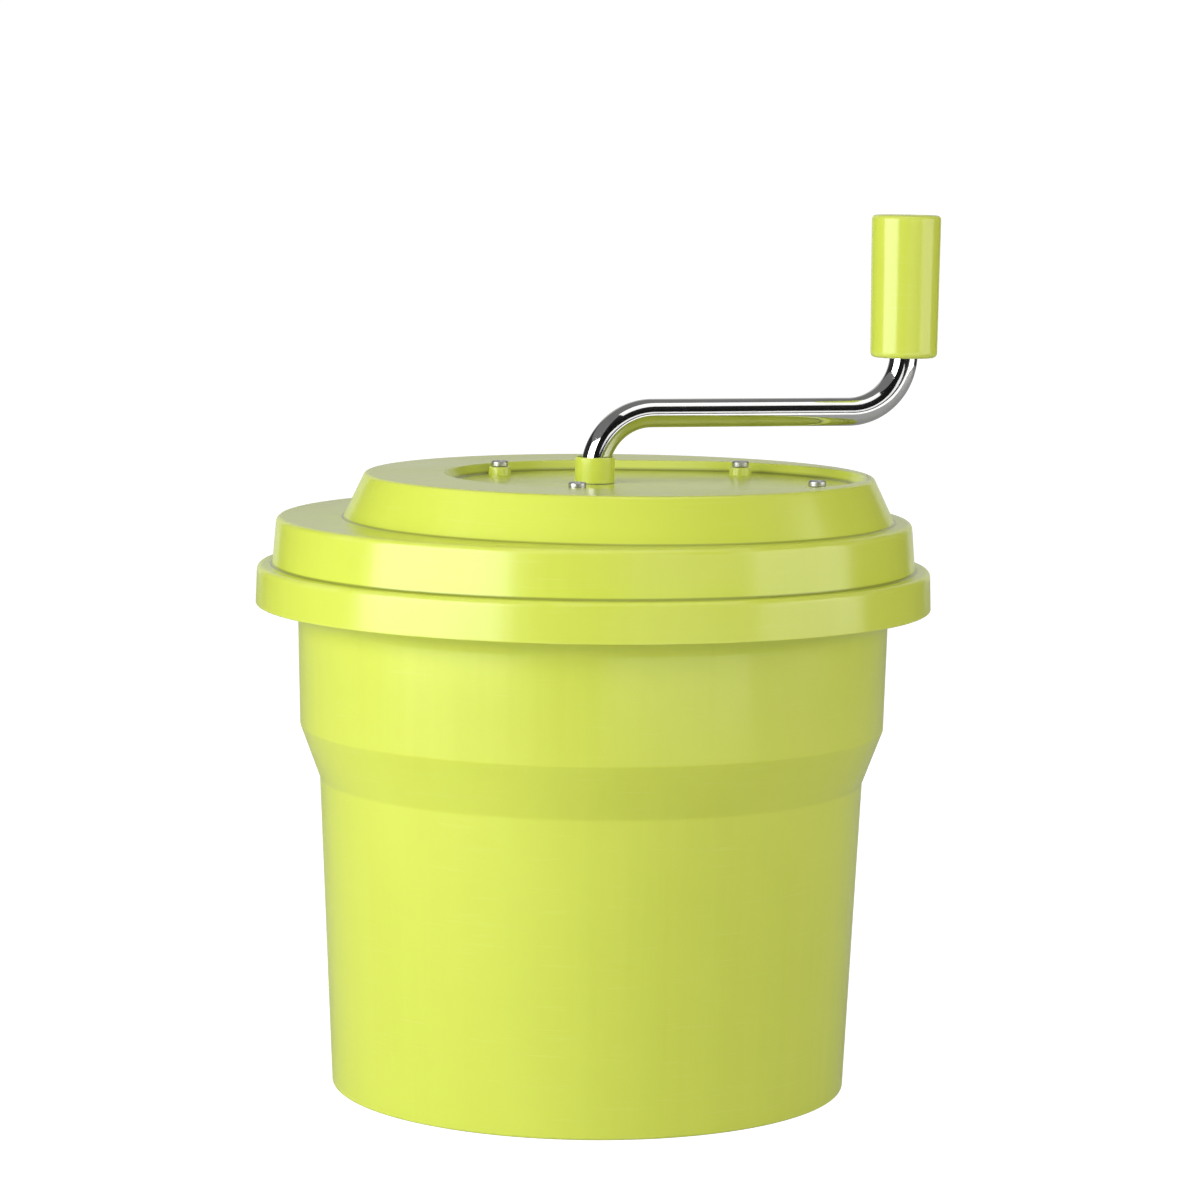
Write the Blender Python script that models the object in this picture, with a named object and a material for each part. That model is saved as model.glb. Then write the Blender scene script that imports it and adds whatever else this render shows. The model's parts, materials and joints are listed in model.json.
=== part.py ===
"""Salad spinner: a geared crank in the lid turns a slotted basket in a bowl.

The origin is on the bowl's axis, at the face the bowl stands on, with +Z up.
Every length below is in millimetres and every mesh is scaled to metres as it is made.
"""
import math

import bmesh
import bpy

MM = 0.001
GAP = 0.3                      # clearance between neighbouring pieces

# Outer bowl
BOWL_FOOT_R = 125.5            # outer radius above the rounded bottom edge
BOWL_EDGE_R = 2.5              # bottom edge round
BOWL_INNER_EDGE_R = 4.5        # the same inside
BOWL_WAIST = (133.2, 152.0)    # radius and height where the shoulder starts
BOWL_SHOULDER = (143.0, 178.5)
BOWL_NECK = (144.3, 231.5)
BOWL_WALL = 3.0
BOWL_FLOOR = 3.5
BOWL_PAD_R = 22.0              # flat pad under the pivot
BOWL_UNDERCUT = 1.0
BOWL_UNDERCUT_R = 100.0
RIM_R = 161.5
RIM_SHELF_Z = 239.0
RIM_SHELF_T = 2.5
RIM_TOP_Z = 253.9
RIM_WALL = 2.8
PIVOT_BOSS_R = 10.0
PIVOT_BOSS_Z = 14.0
PIVOT_PIN_R = 4.0
PIVOT_PIN_TOP = 24.0
PIVOT_WASHER_R = 8.5
PIVOT_WASHER_TOP = 15.3

# Lid: three tiers, the top one off the axis to cover the gears
LID_WALL = 2.5
SKIRT_R = 165.0
SKIRT_BOTTOM = 237.7
SKIRT_TOP = 256.9
TIER_R = 157.0
TIER_TOP = 280.2
TIER_EDGE_R = 6.0
DOME_CENTRE = (12.0, -4.0)
DOME_BASE_R = 134.3
DOME_TOP_R = 124.3
DOME_TOP = 302.0
RECESS_CENTRE = (29.0, -5.0)
RECESS_HALF = 18.0             # half the distance between the recess's two round ends
RECESS_R = 84.0
RECESS_FLOOR = 297.0
SCREW_PLACES = ((-47.5, 42.0), (-8.0, -78.0), (73.0, 58.0), (106.0, -52.0))
SCREW_BOSS_R = 6.5
SCREW_BOSS_TOP = 301.0
SCREW_HEAD_R = 4.2
SCREW_HEAD_H = 2.7
SCREW_SHANK_R = 2.0
SCREW_END = 284.0

# Crank
ROD_R = 7.0
ROD_BEND_R = 28.5
ROD_BOTTOM = 283.3
ROD_LEVEL = 331.0              # height of the level stretch's centreline
ROD_TOP = 405.0
THROW = 159.0                  # crank axis to grip axis
ARM_AZIMUTH = math.radians(16.0)
SQUARE_HALF = 4.4              # half the width across the flats of a square drive
HUB_R = 9.75
HUB_TOP = 309.5
TAP_R = 2.5                    # radius of the screw holes in the shafts' ends
TAP_DEPTH = 11.0
PAN_HEAD_R = 5.0
PAN_HEAD_H = 2.2

# Grip
GRIP_BOTTOM = 357.9
GRIP_TOP = 428.4
GRIP_BOTTOM_R = 16.6
GRIP_TOP_R = 17.2
GRIP_BORE_R = 10.0
GRIP_CHAMBER_R = 13.0
GRIP_CHAMBER_Z = 404.3

# Gear train: crank gear to counter pinion, counter gear to output pinion
MODULE = 2.5
GEAR_TEETH = 36
PINION_TEETH = 18
PRESSURE_ANGLE = math.radians(20.0)
ADDENDUM = 0.8 * MODULE
DEDENDUM = 1.25 * MODULE
BACKLASH = 0.4                 # taken off each tooth's thickness at the pitch circle
COUNTER_DIRECTION = math.radians(-36.0)
CENTRE_DISTANCE = MODULE * (GEAR_TEETH + PINION_TEETH) / 2
COUNTER_AXIS = (
    CENTRE_DISTANCE * math.cos(COUNTER_DIRECTION),
    CENTRE_DISTANCE * math.sin(COUNTER_DIRECTION),
)
UPPER_GEARS = (284.0, 291.6)
LOWER_GEARS = (266.4, 275.7)
COUNTERSHAFT_R = 4.0
COUNTERSHAFT_HEAD = (7.0, 1.7)  # radius and height
COUNTER_BOSS_R = 8.0            # bosses that hold the countershaft in the lid and the case
COUNTER_BOSS_Z = 265.0

# Gear case and output
CASE_CENTRE = (31.0, -7.0)
CASE_R = 100.0
CASE_BOTTOM = 259.5
CASE_FLOOR = 262.5
CASE_TOP = 294.1
PILLAR_R = 5.0
OUTPUT_R = 5.0
OUTPUT_TOP = 276.5
OUTPUT_BOTTOM = 244.4
OUTPUT_DRIVE_HALF = 3.4        # half the width across the flats of the shaft's squares
OUTPUT_HOLE_R = 9.0            # hole for the bearing in the gear case

# Basket and its driver
BASKET_SLOTS = 36              # slots round each row
BASKET_SECTORS = 2 * BASKET_SLOTS  # slots and the ribs between them
SLOT_HALF_ANGLE = math.radians(1.6)
BASKET_WALL = 2.0
BASKET_FOOT_R = 112.5          # inner radius at the foot of the wall
BASKET_FOOT_Z = 18.0
BASKET_MOUTH_R = 125.0
BASKET_MOUTH_Z = 236.0
BASKET_FLOOR = (9.5, 12.0)     # underside and top
BASKET_HUB_R = 13.5
BASKET_HUB_TOP = 30.5
BASKET_SOCKET_R = 7.8
BASKET_SOCKET_Z = (15.8, 25.3)  # mouth and roof
SLOT_ROWS = ((26.0, 66.0), (76.0, 116.0), (126.0, 166.0), (176.0, 216.0))
FLOOR_ROWS = ((34.0, 60.0), (72.0, 100.0))
FLANGE_R = 137.0
FLANGE_TOP = 238.5
NOTCHES = 6                    # notches in the flange, and lugs on the driver
DRIVER_R = 134.0
DRIVER_DISC = (246.0, 249.5)
DRIVER_HUB = (244.8, 254.9)
DRIVER_HUB_R = 13.0
DRIVER_WINDOW = (30.0, 118.0)  # inner and outer radius of its openings
SPOKE_ANGLES = (0.24, 0.07)    # half the angle of a spoke at those radii, in radians
LUG_BOTTOM = 233.5
LUG_WIDTH = 12.0
LUG_DEPTH = 6.0

WALL_SEGMENTS = 40
GRIP_SEGMENTS = 24
SMALL_SEGMENTS = 16


# ---------------------------------------------------------------- materials

def material(name, colour, roughness, metallic=0.0):
    """Return a Principled material."""
    made = bpy.data.materials.new(name)
    made.use_nodes = True
    shader = made.node_tree.nodes["Principled BSDF"]
    shader.inputs["Base Color"].default_value = (*colour, 1.0)
    shader.inputs["Roughness"].default_value = roughness
    shader.inputs["Metallic"].default_value = metallic
    return made


def lime(name):
    """Glossy lime plastic."""
    return material(name, (0.66, 0.80, 0.12), 0.28)


def white(name):
    """White moulded plastic."""
    return material(name, (0.86, 0.87, 0.84), 0.40)


def acetal(name):
    """Cream bearing plastic."""
    return material(name, (0.82, 0.80, 0.72), 0.35)


def steel(name):
    """Stainless steel."""
    return material(name, (0.62, 0.62, 0.60), 0.28, 1.0)


def chrome(name):
    """Chromed steel."""
    return material(name, (0.80, 0.80, 0.80), 0.06, 1.0)


# ---------------------------------------------------------------- outlines

def angles(count):
    """Return evenly spread angles that miss the four axes."""
    return [(index + 0.5) * math.tau / count for index in range(count)]


def circle(radius, z, centre=(0.0, 0.0), count=WALL_SEGMENTS):
    """Return one level ring of points."""
    return [
        (centre[0] + radius * math.cos(a), centre[1] + radius * math.sin(a), z)
        for a in angles(count)
    ]


def oblong(radius, z):
    """Return a level ring with two round ends and straight sides, at the lid's recess."""
    ring = []
    for a in angles(WALL_SEGMENTS):
        end = math.copysign(RECESS_HALF, math.cos(a))
        x = RECESS_CENTRE[0] + end + radius * math.cos(a)
        y = RECESS_CENTRE[1] + radius * math.sin(a)
        ring.append((x, y, z))
    return ring


def square(half, z, turn=0.0, count=SMALL_SEGMENTS):
    """Return a level square ring whose corners fall on its points."""
    ring = []
    for index in range(count):
        a = index * math.tau / count
        off_flat = (a + math.pi / 4) % (math.pi / 2) - math.pi / 4
        radius = half / math.cos(off_flat)
        ring.append((radius * math.cos(a + turn), radius * math.sin(a + turn), z))
    return ring


def arc(centre, radius, start, end, steps):
    """Return (radius, height) points along an arc, angles in degrees."""
    points = []
    for index in range(steps + 1):
        a = math.radians(start + (end - start) * index / steps)
        points.append((centre[0] + radius * math.cos(a), centre[1] + radius * math.sin(a)))
    return points


def lathe_rings(profile, count, centre=(0.0, 0.0)):
    """Return the rings of a turned profile, with a single point where it meets the axis."""
    rings = []
    for radius, z in profile:
        if radius == 0:
            rings.append([(*centre, z)])
        else:
            rings.append(circle(radius, z, centre, count))
    return rings


# ---------------------------------------------------------------- meshes

def add_ring(mesh, points):
    """Add a ring's points, in metres, and return its vertices."""
    return [mesh.verts.new([value * MM for value in point]) for point in points]


def join_rings(mesh, first, second):
    """Add the faces between two rings, either of which may be one point."""
    count = max(len(first), len(second))
    for index in range(count):
        after = (index + 1) % count
        if len(first) == 1:
            mesh.faces.new((first[0], second[index], second[after]))
        elif len(second) == 1:
            mesh.faces.new((first[index], first[after], second[0]))
        else:
            mesh.faces.new((first[index], first[after], second[after], second[index]))


def skin(rings, looped=False):
    """Return a mesh that joins each ring to the next, and the last to the first if looped."""
    mesh = bmesh.new()
    made = [add_ring(mesh, ring) for ring in rings]
    for first, second in zip(made, made[1:]):
        join_rings(mesh, first, second)
    if looped:
        join_rings(mesh, made[-1], made[0])
    return mesh


def prism(loops, low, high):
    """Return a flat plate: the first loop is its outline and the others are holes."""
    mesh = bmesh.new()
    for loop in loops:
        ring = add_ring(mesh, [(x, y, low) for x, y in loop])
        for index, vertex in enumerate(ring):
            mesh.edges.new((vertex, ring[(index + 1) % len(ring)]))
    bmesh.ops.triangle_fill(mesh, edges=mesh.edges[:], use_beauty=True)
    raised = bmesh.ops.extrude_face_region(mesh, geom=mesh.faces[:], use_keep_orig=True)
    lifted = [item for item in raised["geom"] if isinstance(item, bmesh.types.BMVert)]
    bmesh.ops.translate(mesh, verts=lifted, vec=(0.0, 0.0, (high - low) * MM))
    return mesh


def flat(ring):
    """Drop the heights of a ring."""
    return [(x, y) for x, y, z in ring]


def place(name, mesh, look, at=(0.0, 0.0, 0.0)):
    """Turn a mesh into a named object with its faces outward, at a place in millimetres."""
    bmesh.ops.recalc_face_normals(mesh, faces=mesh.faces[:])
    data = bpy.data.meshes.new(name)
    mesh.to_mesh(data)
    mesh.free()
    data.shade_smooth()
    data.set_sharp_from_angle(angle=math.radians(35.0))
    data.materials.append(look(name + "_look"))
    made = bpy.data.objects.new(name, data)
    made.location = [value * MM for value in at]
    bpy.context.scene.collection.objects.link(made)
    return made


def turned(name, profile, look, count=SMALL_SEGMENTS, at=(0.0, 0.0, 0.0)):
    """Make a solid from a profile that starts and ends on the axis."""
    return place(name, skin(lathe_rings(profile, count)), look, at)


def sleeve(name, profile, look, count=SMALL_SEGMENTS, at=(0.0, 0.0, 0.0)):
    """Make a solid from a closed profile that stays off the axis."""
    return place(name, skin(lathe_rings(profile, count), looped=True), look, at)


def tube_profile(inner, outer, low, high):
    """Return the closed profile of a plain tube or washer."""
    return [(inner, low), (outer, low), (outer, high), (inner, high)]


def combine(target, name, meshes, operation):
    """Join meshes to a target, or cut them from it, with one hidden tool object."""
    tool_mesh = bmesh.new()
    for mesh in meshes:
        bmesh.ops.recalc_face_normals(mesh, faces=mesh.faces[:])
        data = bpy.data.meshes.new(name)
        mesh.to_mesh(data)
        mesh.free()
        tool_mesh.from_mesh(data)
        bpy.data.meshes.remove(data)
    tool_data = bpy.data.meshes.new(name)
    tool_mesh.to_mesh(tool_data)
    tool_mesh.free()
    tool = bpy.data.objects.new(name, tool_data)
    tool.hide_render = True
    tool.display_type = "WIRE"
    bpy.context.scene.collection.objects.link(tool)
    modifier = target.modifiers.new(name, "BOOLEAN")
    modifier.object = tool
    modifier.operation = operation
    modifier.solver = "EXACT"


def rod_mesh(radius, low, high, centre=(0.0, 0.0), count=SMALL_SEGMENTS):
    """Return a plain cylinder."""
    profile = [(0, low), (radius, low), (radius, high), (0, high)]
    return skin(lathe_rings(profile, count, centre))


# ---------------------------------------------------------------- bowl

def outer_bowl():
    """Tapered bowl with a shoulder, a rim shelf and a pivot boss on its floor."""
    edge = (BOWL_FOOT_R - BOWL_EDGE_R, BOWL_EDGE_R)
    inside = BOWL_INNER_EDGE_R
    inner_edge = (BOWL_FOOT_R - BOWL_WALL - inside, BOWL_FLOOR + inside)
    shelf_top = RIM_SHELF_Z + RIM_SHELF_T
    lip = RIM_R - RIM_WALL
    outside = [
        (0, 0),
        (BOWL_PAD_R, 0),
        (BOWL_PAD_R + 1, BOWL_UNDERCUT),
        (BOWL_UNDERCUT_R, BOWL_UNDERCUT),
        (BOWL_UNDERCUT_R + 1, 0),
        *arc(edge, BOWL_EDGE_R, -90, 0, 3),
        BOWL_WAIST,
        BOWL_SHOULDER,
        BOWL_NECK,
        (BOWL_NECK[0] + 2.0, RIM_SHELF_Z - 3.0),
        (BOWL_NECK[0] + 6.0, RIM_SHELF_Z),
        (RIM_R, RIM_SHELF_Z),
        (RIM_R, RIM_TOP_Z - 1.0),
        (RIM_R - RIM_WALL / 2, RIM_TOP_Z),
    ]
    within = [
        (lip, RIM_TOP_Z - 1.0),
        (lip, shelf_top),
        (BOWL_NECK[0] + 3.0, shelf_top),
        (BOWL_NECK[0] - BOWL_WALL, BOWL_NECK[1] + 2.0),
        (BOWL_SHOULDER[0] - BOWL_WALL, BOWL_SHOULDER[1] + 1.0),
        (BOWL_WAIST[0] - BOWL_WALL, BOWL_WAIST[1] + 1.0),
        *arc(inner_edge, inside, 0, -90, 2),
        (PIVOT_BOSS_R + 1, BOWL_FLOOR),
        (PIVOT_BOSS_R, PIVOT_BOSS_Z),
        (PIVOT_PIN_R + GAP, PIVOT_BOSS_Z),
        (PIVOT_PIN_R + GAP, BOWL_FLOOR + 1),
        (0, BOWL_FLOOR + 1),
    ]
    return turned("outer_bowl", outside + within, lime, WALL_SEGMENTS)


def pivot():
    """Steel pin in the bowl's boss and the thrust washer around it."""
    pin = [
        (0, BOWL_FLOOR + 1 + GAP),
        (PIVOT_PIN_R, BOWL_FLOOR + 1 + GAP),
        (PIVOT_PIN_R, PIVOT_PIN_TOP - 2),
        (PIVOT_PIN_R / 2, PIVOT_PIN_TOP),
        (0, PIVOT_PIN_TOP),
    ]
    turned("pivot_pin", pin, steel)
    washer = tube_profile(
        PIVOT_PIN_R + GAP, PIVOT_WASHER_R, PIVOT_BOSS_Z + GAP, PIVOT_WASHER_TOP
    )
    sleeve("pivot_washer", washer, acetal)


# ---------------------------------------------------------------- basket

def basket_wall_radius(z):
    """Inner radius of the basket's tapered wall at a height."""
    rise = (z - BASKET_FOOT_Z) / (BASKET_MOUTH_Z - BASKET_FOOT_Z)
    return BASKET_FOOT_R + rise * (BASKET_MOUTH_R - BASKET_FOOT_R)


def slotted_ring(radius, z):
    """Return a level ring with two points to each slot, or one point on the axis."""
    if radius == 0:
        return [(0.0, 0.0, z)]
    ring = []
    for index in range(BASKET_SLOTS):
        middle = index * math.tau / BASKET_SLOTS
        for a in (middle - SLOT_HALF_ANGLE, middle + SLOT_HALF_ANGLE):
            ring.append((radius * math.cos(a), radius * math.sin(a), z))
    return ring


def windowed_shell(faces_up, faces_down, windows):
    """Return a closed shell between two sets of rings, open where a window is.

    A window is (ring, sector), where even sectors are slots and odd ones are ribs.
    Windows never meet at a corner.
    """
    mesh = bmesh.new()
    upper = [add_ring(mesh, ring) for ring in faces_up]
    lower = [add_ring(mesh, ring) for ring in faces_down]
    join_rings(mesh, upper[0], upper[1])
    join_rings(mesh, lower[0], lower[1])
    rows = len(upper) - 1
    for row in range(1, rows):
        for sector in range(BASKET_SECTORS):
            after = (sector + 1) % BASKET_SECTORS
            if (row, sector) in windows:
                continue
            for side in (upper, lower):
                corners = (side[row][sector], side[row][after])
                mesh.faces.new((*corners, side[row + 1][after], side[row + 1][sector]))
    for row in range(1, rows + 1):
        for sector in range(BASKET_SECTORS):
            after = (sector + 1) % BASKET_SECTORS
            inner_open = (row - 1, sector) in windows
            outer_open = (row, sector) in windows or row == rows
            if inner_open != outer_open:
                top = (upper[row][sector], upper[row][after])
                mesh.faces.new((*top, lower[row][after], lower[row][sector]))
    for row in range(1, rows):
        for sector in range(BASKET_SECTORS):
            before = (sector - 1) % BASKET_SECTORS
            if ((row, sector) in windows) != ((row, before) in windows):
                side = (upper[row][sector], upper[row + 1][sector])
                mesh.faces.new((*side, lower[row + 1][sector], lower[row][sector]))
    return mesh


def basket():
    """Slotted basket with a closed hub over the pivot and a notched flange."""
    under, over = BASKET_FLOOR
    hub = BASKET_HUB_R
    top = BASKET_HUB_TOP
    mouth, roof = BASKET_SOCKET_Z
    stations = [
        ((0, top), (0, roof)),
        ((hub, top), (BASKET_SOCKET_R, roof)),
        ((hub + 1.3, top - 2.0), (BASKET_SOCKET_R, mouth)),
        ((hub + 2.5, over + 1.0), (hub - 1.9, mouth)),
        ((hub + 4.5, over), (hub - 1.5, under)),
    ]
    window_rows = []
    for low, high in FLOOR_ROWS:
        window_rows.append(len(stations))
        stations.append(((low, over), (low, under)))
        stations.append(((high, over), (high, under)))
    foot = BASKET_FOOT_R
    stations.append(((foot - 5, over), (foot - 5, under)))
    stations.append(((foot, BASKET_FOOT_Z), (foot + BASKET_WALL, BASKET_FOOT_Z - 4)))
    for low, high in SLOT_ROWS:
        window_rows.append(len(stations))
        for z in (low, high):
            radius = basket_wall_radius(z)
            stations.append(((radius, z), (radius + BASKET_WALL, z)))
    rim = BASKET_MOUTH_R
    stations.append(((rim, FLANGE_TOP), (rim + BASKET_WALL, BASKET_MOUTH_Z)))
    notch_row = len(stations) - 1
    stations.append(((FLANGE_R, FLANGE_TOP), (FLANGE_R, BASKET_MOUTH_Z)))

    windows = {(row, sector) for row in window_rows for sector in range(0, BASKET_SECTORS, 2)}
    apart = BASKET_SECTORS // NOTCHES
    windows |= {(notch_row, sector) for sector in range(1, BASKET_SECTORS, apart)}
    upper = [slotted_ring(*above) for above, below in stations]
    lower = [slotted_ring(*below) for above, below in stations]
    place("basket", windowed_shell(upper, lower, windows), white)
    bush = tube_profile(
        PIVOT_PIN_R + GAP, BASKET_SOCKET_R - GAP, PIVOT_WASHER_TOP + GAP, roof - GAP
    )
    sleeve("basket_bush", bush, acetal)


# ---------------------------------------------------------------- lid

def lid_cover():
    """Stepped lid, with screw bosses in its recess and a socket for the countershaft."""
    under_tier = TIER_TOP - LID_WALL
    under_dome = DOME_TOP - LID_WALL
    under_skirt = SKIRT_TOP - LID_WALL
    tier_edge = (TIER_R - TIER_EDGE_R - 0.8, TIER_TOP - TIER_EDGE_R)
    skirt_edge = (SKIRT_R - 2.9, SKIRT_TOP - 2.4)
    hole = HUB_R - 0.25
    rings = [
        circle(hole, RECESS_FLOOR),
        oblong(RECESS_R - 1.0, RECESS_FLOOR),
        oblong(RECESS_R, DOME_TOP - 0.5),
        oblong(RECESS_R + 0.5, DOME_TOP),
        circle(DOME_TOP_R - 2.5, DOME_TOP, DOME_CENTRE),
        circle(DOME_TOP_R - 1.0, DOME_TOP - 0.5, DOME_CENTRE),
        circle(DOME_TOP_R, DOME_TOP - 1.6, DOME_CENTRE),
        circle(DOME_BASE_R - 1.0, TIER_TOP + 2.3, DOME_CENTRE),
        circle(DOME_BASE_R + 1.2, TIER_TOP, DOME_CENTRE),
        *lathe_rings(arc(tier_edge, TIER_EDGE_R, 90, 0, 4), WALL_SEGMENTS),
        circle(TIER_R, SKIRT_TOP, (0.0, 0.0)),
        *lathe_rings(arc(skirt_edge, 2.4, 90, 0, 2), WALL_SEGMENTS),
        circle(SKIRT_R, SKIRT_BOTTOM + 0.8),
        circle(SKIRT_R - 0.5, SKIRT_BOTTOM),
        circle(SKIRT_R - LID_WALL, SKIRT_BOTTOM),
        circle(SKIRT_R - LID_WALL, under_skirt),
        circle(TIER_R - LID_WALL, under_skirt),
        circle(tier_edge[0] + TIER_EDGE_R - LID_WALL, under_tier - 3.5),
        circle(tier_edge[0] - 1.0, under_tier),
        circle(DOME_BASE_R - LID_WALL, under_tier, DOME_CENTRE),
        circle(DOME_TOP_R - LID_WALL, under_dome, DOME_CENTRE),
        oblong(RECESS_R + LID_WALL, under_dome),
        oblong(RECESS_R + LID_WALL - 1.0, RECESS_FLOOR - LID_WALL),
        circle(hole, RECESS_FLOOR - LID_WALL),
    ]
    lid = place("lid_cover", skin(rings, looped=True), lime)
    socket = rod_mesh(
        COUNTER_BOSS_R, UPPER_GEARS[1] + 2 * GAP, RECESS_FLOOR - 1.0, COUNTER_AXIS
    )
    bosses = [
        rod_mesh(SCREW_BOSS_R, RECESS_FLOOR - 1.0, SCREW_BOSS_TOP, spot)
        for spot in SCREW_PLACES
    ]
    combine(lid, "lid_bosses", [socket, *bosses], "UNION")
    holes = [
        rod_mesh(SCREW_SHANK_R + GAP, RECESS_FLOOR - 9.0, SCREW_BOSS_TOP + 4.0, spot)
        for spot in SCREW_PLACES
    ]
    blind = rod_mesh(
        COUNTERSHAFT_R + GAP, UPPER_GEARS[1] - 2.0, RECESS_FLOOR - 1.6, COUNTER_AXIS
    )
    combine(lid, "lid_holes", [blind, *holes], "DIFFERENCE")


def case_screws():
    """Four cheese-headed screws that pull the gear case up to the lid."""
    seat = SCREW_BOSS_TOP + GAP
    profile = [
        (0, SCREW_END),
        (SCREW_SHANK_R, SCREW_END),
        (SCREW_SHANK_R, seat),
        (SCREW_HEAD_R, seat),
        (SCREW_HEAD_R, seat + SCREW_HEAD_H * 0.7),
        (SCREW_HEAD_R * 0.8, seat + SCREW_HEAD_H),
        (0, seat + SCREW_HEAD_H),
    ]
    for number, (x, y) in enumerate(SCREW_PLACES, start=1):
        turned(f"case_screw_{number}", profile, steel, at=(x, y, 0.0))


def gearcase_cover():
    """Round pan under the gears, with four screw pillars and a boss for the countershaft."""
    pan = [
        (0, CASE_BOTTOM),
        (CASE_R - 1.5, CASE_BOTTOM),
        (CASE_R, CASE_BOTTOM + 1.5),
        (CASE_R, CASE_TOP),
        (CASE_R - 2.2, CASE_TOP),
        (CASE_R - 2.2, CASE_FLOOR),
        (0, CASE_FLOOR),
    ]
    mesh = skin(lathe_rings(pan, WALL_SEGMENTS, CASE_CENTRE))
    cover = place("gearcase_cover", mesh, white)
    pillars = [rod_mesh(PILLAR_R, CASE_FLOOR - 1.0, CASE_TOP, spot) for spot in SCREW_PLACES]
    boss = rod_mesh(COUNTER_BOSS_R, CASE_FLOOR - 1.0, COUNTER_BOSS_Z, COUNTER_AXIS)
    combine(cover, "case_bosses", [boss, *pillars], "UNION")
    taps = [
        rod_mesh(SCREW_SHANK_R + GAP, SCREW_END - 1.0, CASE_TOP + 2.0, spot)
        for spot in SCREW_PLACES
    ]
    shaft_hole = rod_mesh(
        COUNTERSHAFT_R + GAP, CASE_BOTTOM - 2.0, CASE_FLOOR + 4.0, COUNTER_AXIS
    )
    output_hole = rod_mesh(OUTPUT_HOLE_R, CASE_BOTTOM - 2.0, CASE_FLOOR + 2.0)
    combine(cover, "case_holes", [shaft_hole, output_hole, *taps], "DIFFERENCE")


# ---------------------------------------------------------------- gears

def gear_outline(teeth, turn):
    """Return a gear's outline: involute teeth, one of them centred on the turn angle."""
    pitch = MODULE * teeth / 2
    base = pitch * math.cos(PRESSURE_ANGLE)
    half_pitch_angle = math.pi / (2 * teeth) - BACKLASH / (2 * pitch)
    involute = math.tan(PRESSURE_ANGLE) - PRESSURE_ANGLE

    def half_angle(radius):
        reach = math.acos(min(1.0, base / radius))
        return half_pitch_angle + involute - (math.tan(reach) - reach)

    flank = (pitch - DEDENDUM, pitch, pitch + ADDENDUM)
    outline = []
    for tooth in range(teeth):
        middle = turn + tooth * math.tau / teeth
        rising = [(radius, middle - half_angle(radius)) for radius in flank]
        falling = [(radius, middle + half_angle(radius)) for radius in reversed(flank)]
        for radius, a in rising + falling:
            outline.append((radius * math.cos(a), radius * math.sin(a)))
    return outline


def ring_of_holes(count, radius, distance):
    """Return round lightening holes spread around the axis."""
    holes = []
    for index in range(count):
        a = (index + 0.5) * math.tau / count
        centre = (distance * math.cos(a), distance * math.sin(a))
        holes.append(flat(circle(radius, 0.0, centre, 8)))
    return holes


def gear_train():
    """Drive gear, counter gear and pinion, and output pinion, all in mesh."""
    half_tooth = math.pi / PINION_TEETH
    facing = COUNTER_DIRECTION + math.pi
    square_bore = flat(square(SQUARE_HALF + GAP, 0.0, ARM_AZIMUTH, 8))
    round_bore = flat(circle(COUNTERSHAFT_R + GAP, 0.0, count=SMALL_SEGMENTS))
    output_bore = flat(square(OUTPUT_DRIVE_HALF + GAP, 0.0, 0.0, 8))
    holes = ring_of_holes(6, 8.5, 26.0)

    drive = [gear_outline(GEAR_TEETH, COUNTER_DIRECTION), square_bore, *holes]
    place("drive_gear", prism(drive, *UPPER_GEARS), acetal)
    counter_at = (*COUNTER_AXIS, 0.0)
    pinion = [gear_outline(PINION_TEETH, facing + half_tooth), round_bore]
    pinion_bottom = LOWER_GEARS[1] + GAP
    place("counter_pinion", prism(pinion, pinion_bottom, UPPER_GEARS[1]), acetal, counter_at)
    counter = [gear_outline(GEAR_TEETH, facing), round_bore, *holes]
    place("counter_gear", prism(counter, *LOWER_GEARS), acetal, counter_at)
    output = [gear_outline(PINION_TEETH, COUNTER_DIRECTION + half_tooth), output_bore]
    place("output_pinion", prism(output, LOWER_GEARS[0] - 1, LOWER_GEARS[1] + 0.5), acetal)


def countershaft():
    """Fixed pin for the counter gear, headed under the gear case, and its washer."""
    head_top = CASE_BOTTOM - GAP
    head_r, head_height = COUNTERSHAFT_HEAD
    profile = [
        (0, head_top - head_height),
        (head_r, head_top - head_height),
        (head_r, head_top),
        (COUNTERSHAFT_R, head_top),
        (COUNTERSHAFT_R, RECESS_FLOOR - 2.0),
        (0, RECESS_FLOOR - 2.0),
    ]
    counter_at = (*COUNTER_AXIS, 0.0)
    turned("countershaft", profile, steel, at=counter_at)
    bore = COUNTERSHAFT_R + GAP
    washer = tube_profile(bore, 7.8, COUNTER_BOSS_Z + GAP, LOWER_GEARS[0] - GAP)
    sleeve("counter_washer", washer, steel, at=counter_at)


# ---------------------------------------------------------------- crank

def rod_route():
    """Return (distance along the arm, height, tangent angle) down the rod's centreline."""
    low_bend = ROD_LEVEL - ROD_BEND_R
    high_bend = ROD_LEVEL + ROD_BEND_R
    route = []
    for step in range(9):
        turn = math.pi / 2 * step / 8
        along = ROD_BEND_R * (1 - math.cos(turn))
        route.append((along, low_bend + ROD_BEND_R * math.sin(turn), math.pi / 2 - turn))
    for step in range(9):
        turn = math.pi / 2 * step / 8
        along = THROW - ROD_BEND_R + ROD_BEND_R * math.sin(turn)
        route.append((along, high_bend - ROD_BEND_R * math.cos(turn), turn))
    return route


def rod_ring(along, z, tangent, shape):
    """Return a ring square to the rod, from a level outline about the origin."""
    ring = []
    for across, side in shape:
        reach = along - across * math.sin(tangent)
        x = reach * math.cos(ARM_AZIMUTH) - side * math.sin(ARM_AZIMUTH)
        y = reach * math.sin(ARM_AZIMUTH) + side * math.cos(ARM_AZIMUTH)
        ring.append((x, y, z + across * math.cos(tangent)))
    return ring


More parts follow.
